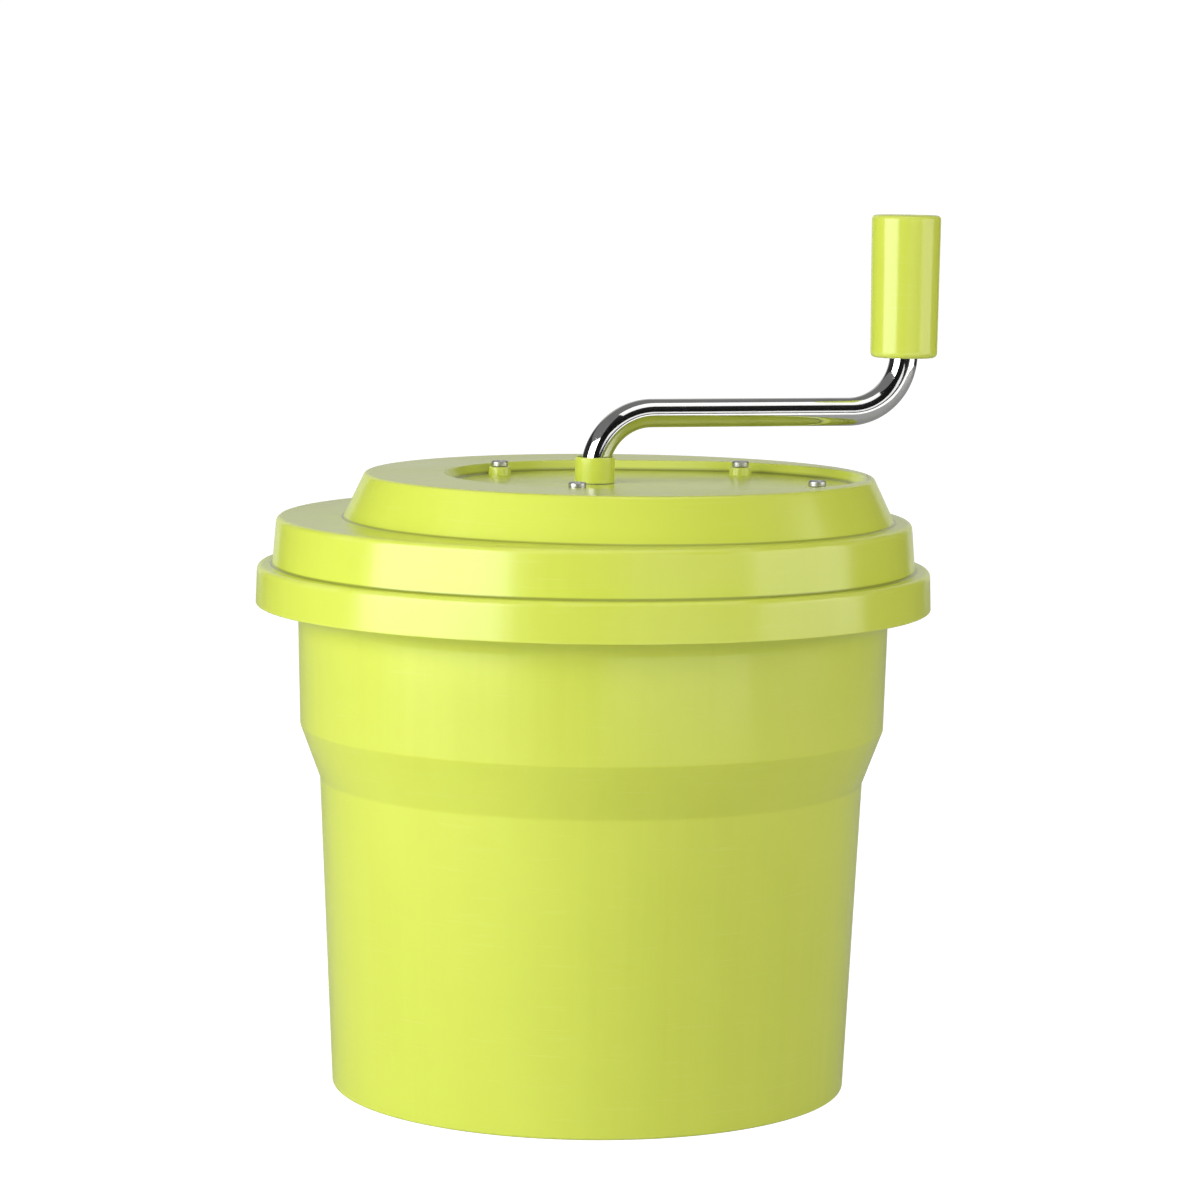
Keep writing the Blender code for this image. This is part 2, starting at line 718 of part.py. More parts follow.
def round_outline(radius):
    """Return a small circle with a point on each of its axes."""
    step = math.tau / SMALL_SEGMENTS
    return [
        (radius * math.cos(index * step), radius * math.sin(index * step))
        for index in range(SMALL_SEGMENTS)
    ]


def crank_arm():
    """Bent rod with a square drive at its foot and a screw hole in each end."""
    upright = math.pi / 2
    body = round_outline(ROD_R)
    hole = round_outline(TAP_R)
    drive = flat(square(SQUARE_HALF, 0.0))
    square_top = UPPER_GEARS[1] + 0.2
    grip_x = THROW * math.cos(ARM_AZIMUTH)
    grip_y = THROW * math.sin(ARM_AZIMUTH)
    rings = [
        [(0.0, 0.0, ROD_BOTTOM + TAP_DEPTH)],
        rod_ring(0.0, ROD_BOTTOM + TAP_DEPTH, upright, hole),
        rod_ring(0.0, ROD_BOTTOM, upright, hole),
        rod_ring(0.0, ROD_BOTTOM, upright, drive),
        rod_ring(0.0, square_top, upright, drive),
        rod_ring(0.0, square_top, upright, body),
    ]
    rings += [rod_ring(along, z, tangent, body) for along, z, tangent in rod_route()]
    rings += [
        rod_ring(THROW, ROD_TOP, upright, body),
        rod_ring(THROW, ROD_TOP, upright, hole),
        rod_ring(THROW, ROD_TOP - TAP_DEPTH, upright, hole),
        [(grip_x, grip_y, ROD_TOP - TAP_DEPTH)],
    ]
    place("crank_arm", skin(rings), chrome)


def crank_fittings():
    """Collar, bearing and lower fixing of the crank in the lid."""
    collar = [
        (ROD_R + GAP, RECESS_FLOOR + GAP),
        (HUB_R, RECESS_FLOOR + GAP),
        (HUB_R, HUB_TOP - 0.6),
        (HUB_R - 0.6, HUB_TOP),
        (ROD_R + 1.8, HUB_TOP),
        (ROD_R + GAP, ROD_LEVEL - ROD_BEND_R),
    ]
    sleeve("crank_hub", collar, lime, GRIP_SEGMENTS)
    under = RECESS_FLOOR - LID_WALL - GAP
    bush = [
        (ROD_R + GAP, under - 2.1),
        (12.5, under - 2.1),
        (12.5, under),
        (HUB_R - 0.25 - GAP, under),
        (HUB_R - 0.25 - GAP, RECESS_FLOOR),
        (ROD_R + GAP, RECESS_FLOOR),
    ]
    sleeve("crank_bush", bush, acetal, GRIP_SEGMENTS)
    washer = tube_profile(TAP_R + GAP, 9.0, ROD_BOTTOM - 1.7, ROD_BOTTOM - GAP)
    sleeve("gear_washer", washer, steel)
    pan_screw("gear_screw", ROD_BOTTOM - 2.0, -1, (0.0, 0.0, 0.0))


def pan_screw(name, seat, side, at):
    """Screw whose head is above its seat (side 1) or below it (side -1)."""
    shank = TAP_R - GAP
    crown = seat + side * PAN_HEAD_H
    end = seat - side * TAP_DEPTH
    profile = [
        (0, crown),
        (PAN_HEAD_R - 1.0, crown),
        (PAN_HEAD_R, seat + side * PAN_HEAD_H / 2),
        (PAN_HEAD_R, seat),
        (shank, seat),
        (shank, end),
        (0, end),
    ]
    turned(name, profile, steel, at=at)


def grip_parts():
    """Turning grip, with its cap, bearings and retaining screw, on the rod's upper end."""
    at = (THROW * math.cos(ARM_AZIMUTH), THROW * math.sin(ARM_AZIMUTH), 0.0)
    bottom_edge = (GRIP_BOTTOM_R - 2.4, GRIP_BOTTOM + 2.4)
    top_edge = (GRIP_TOP_R - 3.5, GRIP_TOP - 3.5)
    profile = [
        (GRIP_BORE_R, GRIP_BOTTOM),
        *arc(bottom_edge, 2.4, -90, 0, 2),
        *arc(top_edge, 3.5, 0, 90, 3),
        (GRIP_CHAMBER_R, GRIP_TOP),
        (GRIP_CHAMBER_R, GRIP_CHAMBER_Z),
        (GRIP_BORE_R, GRIP_CHAMBER_Z),
    ]
    sleeve("grip", profile, lime, GRIP_SEGMENTS, at)
    cap = [
        (0, GRIP_TOP - 4.5),
        (GRIP_CHAMBER_R - GAP, GRIP_TOP - 4.5),
        (GRIP_CHAMBER_R - GAP, GRIP_TOP - 0.3),
        (0, GRIP_TOP - 0.3),
    ]
    turned("grip_cap", cap, lime, GRIP_SEGMENTS, at)
    outer = GRIP_BORE_R - GAP
    for name, low in (("grip_bush_lower", GRIP_BOTTOM + 1), ("grip_bush_upper", 392.0)):
        bush = tube_profile(ROD_R + GAP + 0.1, outer, low, low + 12.0)
        sleeve(name, bush, acetal, GRIP_SEGMENTS, at)
    washer = tube_profile(TAP_R + GAP, 11.5, ROD_TOP + GAP, ROD_TOP + 1.7)
    sleeve("grip_washer", washer, steel, at=at)
    pan_screw("grip_screw", ROD_TOP + 2.0, 1, at)


# ---------------------------------------------------------------- output

def output_parts():
    """Output shaft on the bowl's axis, with its bearing and its retaining ring."""
    drive = OUTPUT_DRIVE_HALF
    tap_top = OUTPUT_BOTTOM + TAP_DEPTH
    rings = [
        [(0.0, 0.0, tap_top)],
        [(*point, tap_top) for point in round_outline(TAP_R)],
        [(*point, OUTPUT_BOTTOM) for point in round_outline(TAP_R)],
        square(drive, OUTPUT_BOTTOM),
        square(drive, DRIVER_HUB[1] + GAP),
        [(*point, DRIVER_HUB[1] + GAP) for point in round_outline(OUTPUT_R)],
        [(*point, LOWER_GEARS[0] - 1.3) for point in round_outline(OUTPUT_R)],
        square(drive, LOWER_GEARS[0] - 1.3),
        square(drive, OUTPUT_TOP),
        [(0.0, 0.0, OUTPUT_TOP)],
    ]
    place("output_shaft", skin(rings), steel)
    bush = [
        (OUTPUT_R + GAP, CASE_BOTTOM - 2.1),
        (OUTPUT_HOLE_R - GAP, CASE_BOTTOM - 2.1),
        (OUTPUT_HOLE_R - GAP, CASE_FLOOR + GAP),
        (OUTPUT_HOLE_R + 3.0, CASE_FLOOR + GAP),
        (OUTPUT_HOLE_R + 3.0, CASE_FLOOR + 2.2),
        (OUTPUT_R + GAP, CASE_FLOOR + 2.2),
    ]
    sleeve("output_bush", bush, acetal)
    mouth = math.radians(40.0)
    outline = []
    for radius, start, end in ((8.6, mouth, math.tau - mouth), (5.3, math.tau - mouth, mouth)):
        for step in range(13):
            a = start + (end - start) * step / 12
            outline.append((radius * math.cos(a), radius * math.sin(a)))
    place("shaft_circlip", prism([outline], CASE_BOTTOM - 3.6, CASE_BOTTOM - 2.6), steel)


def basket_driver():
    """Spider on the output shaft whose lugs stand in the basket's notches."""
    windows = []
    step = math.tau / NOTCHES
    offset = math.pi / BASKET_SLOTS
    near, far = DRIVER_WINDOW
    half_near = step / 2 - SPOKE_ANGLES[0]
    half_far = step / 2 - SPOKE_ANGLES[1]
    for index in range(NOTCHES):
        middle = offset + (index + 0.5) * step
        window = [(near, middle - half_near)]
        window += [(far, middle + half_far * part) for part in (-1.0, -0.5, 0.0, 0.5, 1.0)]
        window += [(near, middle + half_near)]
        windows.append([(r * math.cos(a), r * math.sin(a)) for r, a in window])
    rim = flat(circle(DRIVER_R, 0.0))
    driver = place("basket_driver", prism([rim, *windows], *DRIVER_DISC), white)
    hub = rod_mesh(DRIVER_HUB_R, *DRIVER_HUB)
    lugs = []
    for index in range(NOTCHES):
        a = offset + index * step
        out = (math.cos(a), math.sin(a))
        corners = []
        for reach, side in ((0, -1), (LUG_DEPTH, -1), (LUG_DEPTH, 1), (0, 1)):
            distance = DRIVER_R - 1.0 - LUG_DEPTH + reach
            across = side * LUG_WIDTH / 2
            x = distance * out[0] - across * out[1]
            y = distance * out[1] + across * out[0]
            corners.append((x, y))
        lugs.append(prism([corners], LUG_BOTTOM, DRIVER_DISC[0] + 1.5))
    combine(driver, "driver_lugs", [hub, *lugs], "UNION")
    bore = flat(square(OUTPUT_DRIVE_HALF + GAP, 0.0, 0.0, 8))
    cutter = prism([bore], DRIVER_HUB[0] - 2, DRIVER_HUB[1] + 2)
    combine(driver, "driver_bore", [cutter], "DIFFERENCE")
    washer = tube_profile(TAP_R + GAP, 9.0, OUTPUT_BOTTOM - 1.7, OUTPUT_BOTTOM - GAP)
    sleeve("driver_washer", washer, steel)
    pan_screw("driver_screw", OUTPUT_BOTTOM - 2.0, -1, (0.0, 0.0, 0.0))


def main():
    """Clear the scene and make every piece."""
    for old in list(bpy.data.objects):
        bpy.data.objects.remove(old, do_unlink=True)
    outer_bowl()
    pivot()
    basket()
    lid_cover()
    case_screws()
    gearcase_cover()
    gear_train()
    countershaft()
    crank_arm()
    crank_fittings()
    grip_parts()
    output_parts()
    basket_driver()


main()
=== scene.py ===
"""Looks of the salad spinner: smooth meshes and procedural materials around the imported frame."""

import json
import math

import bmesh
import bpy
from mathutils import Matrix, Vector


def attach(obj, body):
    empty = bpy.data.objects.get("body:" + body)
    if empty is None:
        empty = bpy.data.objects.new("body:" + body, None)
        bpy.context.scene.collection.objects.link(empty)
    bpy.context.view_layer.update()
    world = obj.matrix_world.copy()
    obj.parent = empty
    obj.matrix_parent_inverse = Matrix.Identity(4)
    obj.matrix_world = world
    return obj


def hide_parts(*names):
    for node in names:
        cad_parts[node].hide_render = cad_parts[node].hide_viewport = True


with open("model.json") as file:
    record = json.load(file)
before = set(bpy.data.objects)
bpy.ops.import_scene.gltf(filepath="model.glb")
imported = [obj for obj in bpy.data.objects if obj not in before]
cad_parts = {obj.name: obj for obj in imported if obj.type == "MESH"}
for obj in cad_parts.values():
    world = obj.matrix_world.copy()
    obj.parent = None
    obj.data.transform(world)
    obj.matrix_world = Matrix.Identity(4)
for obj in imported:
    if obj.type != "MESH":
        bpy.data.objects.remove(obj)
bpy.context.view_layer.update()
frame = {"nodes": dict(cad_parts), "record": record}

MM = 0.001                     # a millimetre, in metres
ROUND = 192                    # points round a large turned wall
MEDIUM = 96                    # points round the grip and the collar
FINE = 64                      # points round a small turned wall
GUARD = 1.2                    # millimetres from a rounded edge to the ring that stands beside it
GUARD_SHARE = 0.48             # largest share of a side that a fillet and its ring may take
FILLET_SHARE = 0.49            # largest share of a side that a fillet alone may take
GAP = 0.3                      # millimetres between pieces that touch on the real object

# The camera: metres, degrees, and millimetres for the lens
CAMERA_PLACE = (0.00332, -2.00464, 0.46869)
CAMERA_PITCH = 6.524
CAMERA_ROLL = 0.730
CAMERA_LENS = 123.46
SENSOR_WIDTH = 36.0

# Bowl and pivot, in millimetres
BOWL_FLOOR = 3.5
SHELF_BOTTOM = 239.0
SHELF_TOP = 241.5
BOWL_RIM = 253.9
PIVOT_TOP = 14.0
PIN_R = 4.0
PIN_SEAT = 4.5
PIN_TOP = 24.0
WASHER_R = 8.5
WASHER_THICK = 1.0

# Lid, in millimetres
LID_WALL = 2.5
SKIRT_BOTTOM = 237.7
SKIRT_TOP = 256.9
TIER_TOP = 280.2
DOME_TOP = 302.0
DOME_CENTRE = (12.0, -4.0)
CRANK_BORE_R = 9.5
RECESS_FLOOR = 297.0
RECESS_CENTRE = (29.0, -5.0)
RECESS_HALF = 18.0             # half the distance between the centres of its round ends
BOSS_TOP = 301.0
SCREW_TOP = 304.0
SCREW_END = 284.0
SOCKET_FLOOR = 302.3
SCREW_PLACES = ((-47.5, 42.0), (-8.0, -78.0), (73.0, 58.0), (106.0, -52.0))

# Crank, in millimetres
ROD_R = 7.0
ROD_BEND_R = 28.5
ROD_LEVEL = 331.0
ROD_END = 283.3                # lower end of the rod, where it is square for the gear
SQUARE_TOP = 291.8
SQUARE_HALF = 4.4
ROD_TOP = 405.0
TAPPED_R = 2.5
TAPPED_DEPTH = 11.0
THROW = 159.0
ARM_AZIMUTH = math.radians(16.0)
GRIP_AXIS = (THROW * math.cos(ARM_AZIMUTH), THROW * math.sin(ARM_AZIMUTH))
COLLAR_TOP = 309.9
GRIP_BOTTOM = 357.9
GRIP_TOP = 428.4
GRIP_STEP = 404.3              # where the grip's bore widens for its screw and plug
PLUG_BORE_R = 13.0
PLUG_BOTTOM = 423.9

# Gear case, in millimetres
CASE_CENTRE = (31.0, -7.0)
COUNTER_AXIS = (54.609, -39.676)
CASE_BOTTOM = 259.5
CASE_FLOOR = 262.5
CASE_TOP = 294.1
CASE_BORE_R = 9.0
PILLAR_BOTTOM = 261.0

# Basket, in millimetres, and degrees for the points across a slot and its rib
BASKET_FLOOR = 12.0
BASKET_UNDER = 9.5
BASKET_WALL = 2.0
WALL_FOOT = (112.5, 18.0)      # radius and height where the tapered wall starts inside
WALL_HEAD = (125.0, 236.0)
FLANGE_TOP = 238.5
BASKET_SLOTS = 36
SLOT_POINTS = (-1.6, -1.13, 0.0, 1.13, 1.6)
RIB_POINTS = (3.3, 5.0, 6.7)
SECTOR_POINTS = SLOT_POINTS + RIB_POINTS
SLOT_END = 2.4                 # how far a slot's round end stands out at its middle
SLOT_ROWS = ((28.0, 64.0), (78.0, 114.0), (128.0, 164.0), (178.0, 214.0))
FLOOR_ROWS = ((36.0, 58.0), (74.0, 98.0))
FOOT_BEND = ((107.0, 12.0, 0.6, 2.5), (110.5, 13.4, 1.6, 2.4), (112.3, 17.0, 2.0, 1.5))
NOTCHES = 6

# Driver, in millimetres
DRIVER_TOP = 249.5
DRIVER_BOTTOM = 246.0
HUB_TOP = 254.9
HUB_BOTTOM = 244.8
BORE_HALF = 3.7                # half the width of its square bore
HUB_SPREAD = 0.3               # half the angle that a spoke takes at the hub, in radians
RIM_SPREAD = 0.12              # the same at the rim
SPOKE_TURN = math.radians(5.0)
SPOKE_PARTS = (-1.0, -0.5, 0.0, 0.5, 1.0)
SPIDER_GAPS = 14               # steps round each opening
LUG_R = 130.0
LUG_HALF = (3.0, 6.0)          # half its size outwards and along the rim
LUG_TOP = 247.5
LUG_END = 233.5
LUG_POINTS = 32
LUG_POWER = 0.35               # the lower, the squarer a lug's outline


# ---------------------------------------------------------------- materials

# Pointiness where edge wear and the painted shade in creases start and where they are full. A flat
# face has 0.5.
WORN_EDGES = (0.507, 0.530)
CREASE_SHADE_POINTINESS = (0.4955, 0.484)


class Shader:
    """A small helper that adds nodes to one material and links them."""

    def __init__(self, name):
        self.material = bpy.data.materials.new(name)
        self.material.use_nodes = True
        self.tree = self.material.node_tree
        self.surface = self.tree.nodes["Principled BSDF"]
        self.place = self.add("ShaderNodeTexCoord").outputs["Object"]

    def add(self, kind, **settings):
        """Add a node. Its settings name the node's own properties."""
        made = self.tree.nodes.new(kind)
        for key, value in settings.items():
            setattr(made, key, value)
        return made

    def link(self, source, target):
        """Link a socket to another."""
        self.tree.links.new(source, target)

    def set(self, **values):
        """Set the Principled shader's own sockets, underscores standing for spaces."""
        for key, value in values.items():
            self.surface.inputs[key.replace("_", " ")].default_value = value

    def stretched(self, scale):
        """Return the object's coordinates scaled along each axis."""
        mapping = self.add("ShaderNodeMapping")
        mapping.inputs["Scale"].default_value = scale
        self.link(self.place, mapping.inputs["Vector"])
        return mapping.outputs["Vector"]

    def noise(self, scale, detail=4.0, rough=0.5, vector=None):
        """Return a noise value, over the object's coordinates unless a vector is given."""
        made = self.add("ShaderNodeTexNoise")
        made.inputs["Scale"].default_value = scale
        made.inputs["Detail"].default_value = detail
        made.inputs["Roughness"].default_value = rough
        self.link(vector or self.place, made.inputs["Vector"])
        return made.outputs["Fac"]

    def remap(self, value, low, high, start, end):
        """Return a value moved from one range to another and held inside it."""
        made = self.add("ShaderNodeMapRange")
        made.inputs["From Min"].default_value = low
        made.inputs["From Max"].default_value = high
        made.inputs["To Min"].default_value = start
        made.inputs["To Max"].default_value = end
        self.link(value, made.inputs["Value"])
        return made.outputs["Result"]

    def math(self, operation, first, second):
        """Return two values combined. The second may be a plain number."""
        made = self.add("ShaderNodeMath", operation=operation)
        self.link(first, made.inputs[0])
        if isinstance(second, (int, float)):
            made.inputs[1].default_value = second
        else:
            self.link(second, made.inputs[1])
        return made.outputs["Value"]

    def mix(self, amount, first, second):
        """Return a colour between two, each a tuple or a socket."""
        made = self.add("ShaderNodeMix", data_type="RGBA")
        self.link(amount, made.inputs["Factor"])
        inputs = [socket for socket in made.inputs if socket.type == "RGBA"]
        for colour, socket in zip((first, second), inputs):
            if isinstance(colour, tuple):
                socket.default_value = (*colour, 1.0)
            else:
                self.link(colour, socket)
        return next(socket for socket in made.outputs if socket.type == "RGBA")

    def bump(self, height, distance, normal=None):
        """Return a normal bumped by a height, in metres."""
        made = self.add("ShaderNodeBump")
        made.inputs["Distance"].default_value = distance
        self.link(height, made.inputs["Height"])
        if normal:
            self.link(normal, made.inputs["Normal"])
        return made.outputs["Normal"]

    def edges(self, low, high):
        """Return 0 to 1 as the pointiness goes from low to high, to find edges or creases."""
        geometry = self.add("ShaderNodeNewGeometry")
        return self.remap(geometry.outputs["Pointiness"], low, high, 0.0, 1.0)


def hairlines(shader, scale):
    """Return sparse fine lines: stretched noise, cut off near its peaks."""
    lines = shader.noise(1.0, 2.0, 0.5, shader.stretched(scale))
    return shader.remap(lines, 0.62, 0.72, 0.0, 1.0)


def moulded(name, body, shade, worn, roughness, grain):
    """Moulded plastic: cloudy colour, flow lines, worn edges, painted shade in creases, and grain.

    The scales of the noises are in waves for each metre.
    """
    shader = Shader(name)
    clouds = shader.remap(shader.noise(9.0, 3.0), 0.35, 0.65, 0.0, 1.0)
    flow = shader.noise(1.0, 4.0, 0.6, shader.stretched((150.0, 150.0, 1.5)))
    patchy = shader.math("MULTIPLY", clouds, shader.remap(flow, 0.3, 0.7, 0.4, 1.0))
    colour = shader.mix(patchy, body, shade)
    rubbed = shader.remap(shader.noise(35.0, 5.0, 0.6), 0.42, 0.62, 0.0, 1.0)
    wear = shader.math("MULTIPLY", shader.edges(*WORN_EDGES), rubbed)
    faint_wear = shader.math("MULTIPLY", wear, 0.4)
    rubs = hairlines(shader, (30.0, 30.0, 900.0))
    lined = shader.mix(shader.math("MULTIPLY", rubs, 0.10), colour, worn)
    edged = shader.mix(faint_wear, lined, worn)
    # Painted shade: concave creases are darkened towards a near-black copy of the darker tone,
    # standing in for the shade that falls there.
    crease_shade_amount = shader.math("MULTIPLY", shader.edges(*CREASE_SHADE_POINTINESS), 0.8)
    crease_shade_colour = tuple(value * 0.3 for value in shade)
    shader.link(shader.mix(crease_shade_amount, edged, crease_shade_colour), shader.surface.inputs["Base Color"])
    smudges = shader.remap(shader.noise(16.0, 4.0, 0.6), 0.35, 0.65, roughness, roughness + 0.05)
    marked = shader.math("ADD", smudges, shader.math("MULTIPLY", rubs, 0.02))
    rough = shader.math("ADD", marked, shader.math("MULTIPLY", wear, 0.02))
    shader.link(rough, shader.surface.inputs["Roughness"])
    fine = shader.bump(shader.noise(grain, 2.0), 0.000004)
    waved = shader.bump(shader.noise(24.0, 1.0), 0.00025, fine)
    shader.link(shader.bump(flow, 0.00002, waved), shader.surface.inputs["Normal"])
    shader.set(IOR=1.55, Specular_IOR_Level=0.5)
    return shader.material


def plated(name, body, dull, roughness, drawn):
    """Polished metal with drawn lines, faint water marks and hairline scratches."""
    shader = Shader(name)
    lines = shader.noise(1.0, 3.0, 0.6, shader.stretched(drawn))
    marks = shader.remap(shader.noise(60.0, 4.0, 0.6), 0.5, 0.7, 0.0, 1.0)
    shader.link(shader.mix(marks, body, dull), shader.surface.inputs["Base Color"])
    hair = hairlines(shader, (300.0, 300.0, 3000.0))
    soft = shader.remap(lines, 0.3, 0.7, roughness, roughness * 1.8)
    blurred = shader.math("ADD", soft, shader.math("MULTIPLY", marks, 0.03))
    rough = shader.math("ADD", blurred, shader.math("MULTIPLY", hair, 0.10))
    shader.link(rough, shader.surface.inputs["Roughness"])
    normal = shader.bump(hair, -0.000003, shader.bump(lines, 0.000004))
    shader.link(normal, shader.surface.inputs["Normal"])
    shader.set(Metallic=1.0)
    return shader.material


def make_materials():
    """Return every finish by its record slot."""
    lime = ((0.65, 0.725, 0.092), (0.615, 0.69, 0.080), (0.75, 0.80, 0.24))
    white = ((0.84, 0.85, 0.82), (0.79, 0.80, 0.77), (0.90, 0.90, 0.88))
    wax = ((0.78, 0.76, 0.68), (0.72, 0.70, 0.62), (0.86, 0.85, 0.80))
    grey = ((0.60, 0.60, 0.58), (0.50, 0.50, 0.49))
    silver = ((0.70, 0.70, 0.69), (0.64, 0.64, 0.63))
    return {
        "lime_plastic": moulded("lime_plastic", *lime, roughness=0.18, grain=900.0),
        "white_plastic": moulded("white_plastic", *white, roughness=0.36, grain=800.0),
        "acetal": moulded("acetal", *wax, roughness=0.34, grain=1000.0),
        "steel": plated("steel", *grey, roughness=0.285, drawn=(900.0, 900.0, 60.0)),
        "chromed_rod": plated("chromed_rod", *silver, roughness=0.035, drawn=(700.0, 700.0, 700.0)),
    }


finishes = make_materials()


# ---------------------------------------------------------------- outlines

def filleted(corners, steps=5):
    """Return a profile whose corners (radius, height, fillet) are rounded by arcs.

    A point close beside each arc keeps the wear of an edge, and the painted shade in a crease, near
    that edge.
    """
    profile = []
    for index, corner in enumerate(corners):
        radius, height, fillet = (*corner, 0.0)[:3]
        if not fillet or index in (0, len(corners) - 1):
            profile.append((radius, height))
            continue
        before = corners[index - 1]
        after = corners[index + 1]
        arriving = (before[0] - radius, before[1] - height)
        leaving = (after[0] - radius, after[1] - height)
        arriving_length = math.hypot(*arriving)
        leaving_length = math.hypot(*leaving)
        first = (arriving[0] / arriving_length, arriving[1] / arriving_length)
        second = (leaving[0] / leaving_length, leaving[1] / leaving_length)
        half = math.acos(max(-1.0, min(1.0, first[0] * second[0] + first[1] * second[1]))) / 2
        back = fillet / math.tan(half)
        back = min(back, FILLET_SHARE * arriving_length, FILLET_SHARE * leaving_length)
        reach = back / math.cos(half)
        middle = (first[0] + second[0], first[1] + second[1])
        middle_length = math.hypot(*middle)
        centre = (
            radius + middle[0] / middle_length * reach,
            height + middle[1] / middle_length * reach,
        )
        start = (radius + first[0] * back - centre[0], height + first[1] * back - centre[1])
        end = (radius + second[0] * back - centre[0], height + second[1] * back - centre[1])
        away = back + GUARD
        if away < GUARD_SHARE * arriving_length:
            profile.append((radius + first[0] * away, height + first[1] * away))
        start_angle = math.atan2(start[1], start[0])
        sweep = (math.atan2(end[1], end[0]) - start_angle + math.pi) % math.tau - math.pi
        size = math.hypot(*start)
        for step in range(steps + 1):
            a = start_angle + sweep * step / steps
            profile.append((centre[0] + size * math.cos(a), centre[1] + size * math.sin(a)))
        if away < GUARD_SHARE * leaving_length:
            profile.append((radius + second[0] * away, height + second[1] * away))
    return profile


def circle(radius, z, centre=(0.0, 0.0), count=ROUND):
    """Return one level ring of points."""
    ring = []
    for index in range(count):
        a = (index + 0.5) * math.tau / count
        ring.append((centre[0] + radius * math.cos(a), centre[1] + radius * math.sin(a), z))
    return ring


def oblong(radius, z):
    """Return the level outline of the lid's recess, with two round ends."""
    ring = []
    for index in range(ROUND):
        a = (index + 0.5) * math.tau / ROUND
        end = math.copysign(RECESS_HALF, math.cos(a))
        x = RECESS_CENTRE[0] + end + radius * math.cos(a)
        ring.append((x, RECESS_CENTRE[1] + radius * math.sin(a), z))
    return ring


def turned_rings(profile, count, centre=(0.0, 0.0)):
    """Return the rings of a turned profile, with a single point on the axis."""
    rings = []
    for radius, z in profile:
        if radius < 1e-6:
            rings.append([(*centre, z)])
        else:
            rings.append(circle(radius, z, centre, count))
    return rings


# ---------------------------------------------------------------- meshes

def add_ring(mesh, points):
    """Add points given in millimetres and return their vertices."""
    return [mesh.verts.new([value * MM for value in point]) for point in points]


def join_rings(mesh, first, second):
    """Add the faces between two rings, either of which may be one point."""
    count = max(len(first), len(second))
    for index in range(count):
        after = (index + 1) % count
        if len(first) == 1:
            mesh.faces.new((first[0], second[index], second[after]))
        elif len(second) == 1:
            mesh.faces.new((first[index], first[after], second[0]))
        else:
            mesh.faces.new((first[index], first[after], second[after], second[index]))


def skin(rings, looped=False):
    """Return a mesh that joins each ring to the next."""
    mesh = bmesh.new()
    made = [add_ring(mesh, ring) for ring in rings]
    for first, second in zip(made, made[1:]):
        join_rings(mesh, first, second)
    if looped:
        join_rings(mesh, made[-1], made[0])
    return mesh


def piece(name, mesh, slot, body, nodes, sharp=38.0):
    """Turn a mesh into a piece that rides on a body and stands for CAD nodes."""
    bmesh.ops.recalc_face_normals(mesh, faces=mesh.faces[:])
    data = bpy.data.meshes.new(name)
    mesh.to_mesh(data)
    mesh.free()
    data.shade_smooth()
    data.set_sharp_from_angle(angle=math.radians(sharp))
    data.materials.append(finishes[slot])
    made = bpy.data.objects.new(name, data)
    bpy.context.scene.collection.objects.link(made)
    flats = made.modifiers.new("flats", "WEIGHTED_NORMAL")
    flats.keep_sharp = True
    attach(made, body)
    if nodes:
        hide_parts(*nodes)
    return made


def turned(name, corners, slot, body, nodes, count=FINE, centre=(0.0, 0.0), looped=True):
    """Make a turned piece from a profile of filleted corners, closed unless it meets the axis."""
    if looped:
        profile = filleted([corners[-1], *corners, corners[0]])[1:-1]
    else:
        profile = filleted(corners)
    mesh = skin(turned_rings(profile, count, centre), looped=looped)
    piece(name, mesh, slot, body, nodes)


def soften(made, width):
    """Round a piece's sharp edges a little."""
    softened = made.modifiers.new("edges", "BEVEL")
    softened.width = width * MM
    softened.segments = 2
    softened.limit_method = "ANGLE"
    softened.angle_limit = math.radians(40.0)


# ---------------------------------------------------------------- bowl

def bowl():
    """Tapered bowl with soft shoulders, a rolled shelf under the lid and a foot ring."""
    corners = [
        (0.0, 0.0),
        (22.0, 0.0, 0.4),
        (23.0, 1.0, 0.4),
        (100.0, 1.0, 0.4),
        (101.0, 0.0, 0.4),
        (126.3, 0.0, 1.2),
        (133.2, 152.3, 5.0),
        (143.0, 178.5, 4.5),
        (144.3, 231.5, 8.0),
        (149.0, SHELF_BOTTOM, 3.0),
        (161.5, SHELF_BOTTOM, 1.2),
        (161.5, BOWL_RIM, 1.2),
        (158.7, BOWL_RIM, 1.2),
        (158.7, SHELF_TOP, 1.5),
        (147.0, SHELF_TOP, 4.0),
        (141.4, 233.0, 6.0),
        (140.0, 179.5, 5.0),
        (130.2, 153.5, 6.0),
        (122.6, BOWL_FLOOR, 5.0),
        (11.0, BOWL_FLOOR, 2.0),
        (10.0, PIVOT_TOP, 0.6),
        (PIN_R + GAP, PIVOT_TOP, 0.3),
        (PIN_R + GAP, PIN_SEAT, 0.2),
        (0.0, PIN_SEAT),
    ]
    mesh = skin(turned_rings(filleted(corners, 7), ROUND))
    piece("bowl_shell", mesh, "lime_plastic", "bowl", ["outer_bowl"])


def pivot():
    """Domed steel pin on the bowl's floor and its thrust washer."""
    foot = PIN_SEAT + GAP
    pin = [(0.0, foot), (PIN_R, foot, 0.4), (PIN_R, PIN_TOP, 2.4), (0.0, PIN_TOP)]
    turned("pivot_pin_steel", pin, "steel", "bowl", ["pivot_pin"], looped=False)
    low = PIVOT_TOP + GAP
    high = low + WASHER_THICK
    bore = PIN_R + GAP
    washer = [(bore, low, 0.2), (WASHER_R, low, 0.3), (WASHER_R, high, 0.3), (bore, high, 0.2)]
    turned("pivot_thrust_washer", washer, "acetal", "pivot", ["pivot_washer"])


# ---------------------------------------------------------------- basket

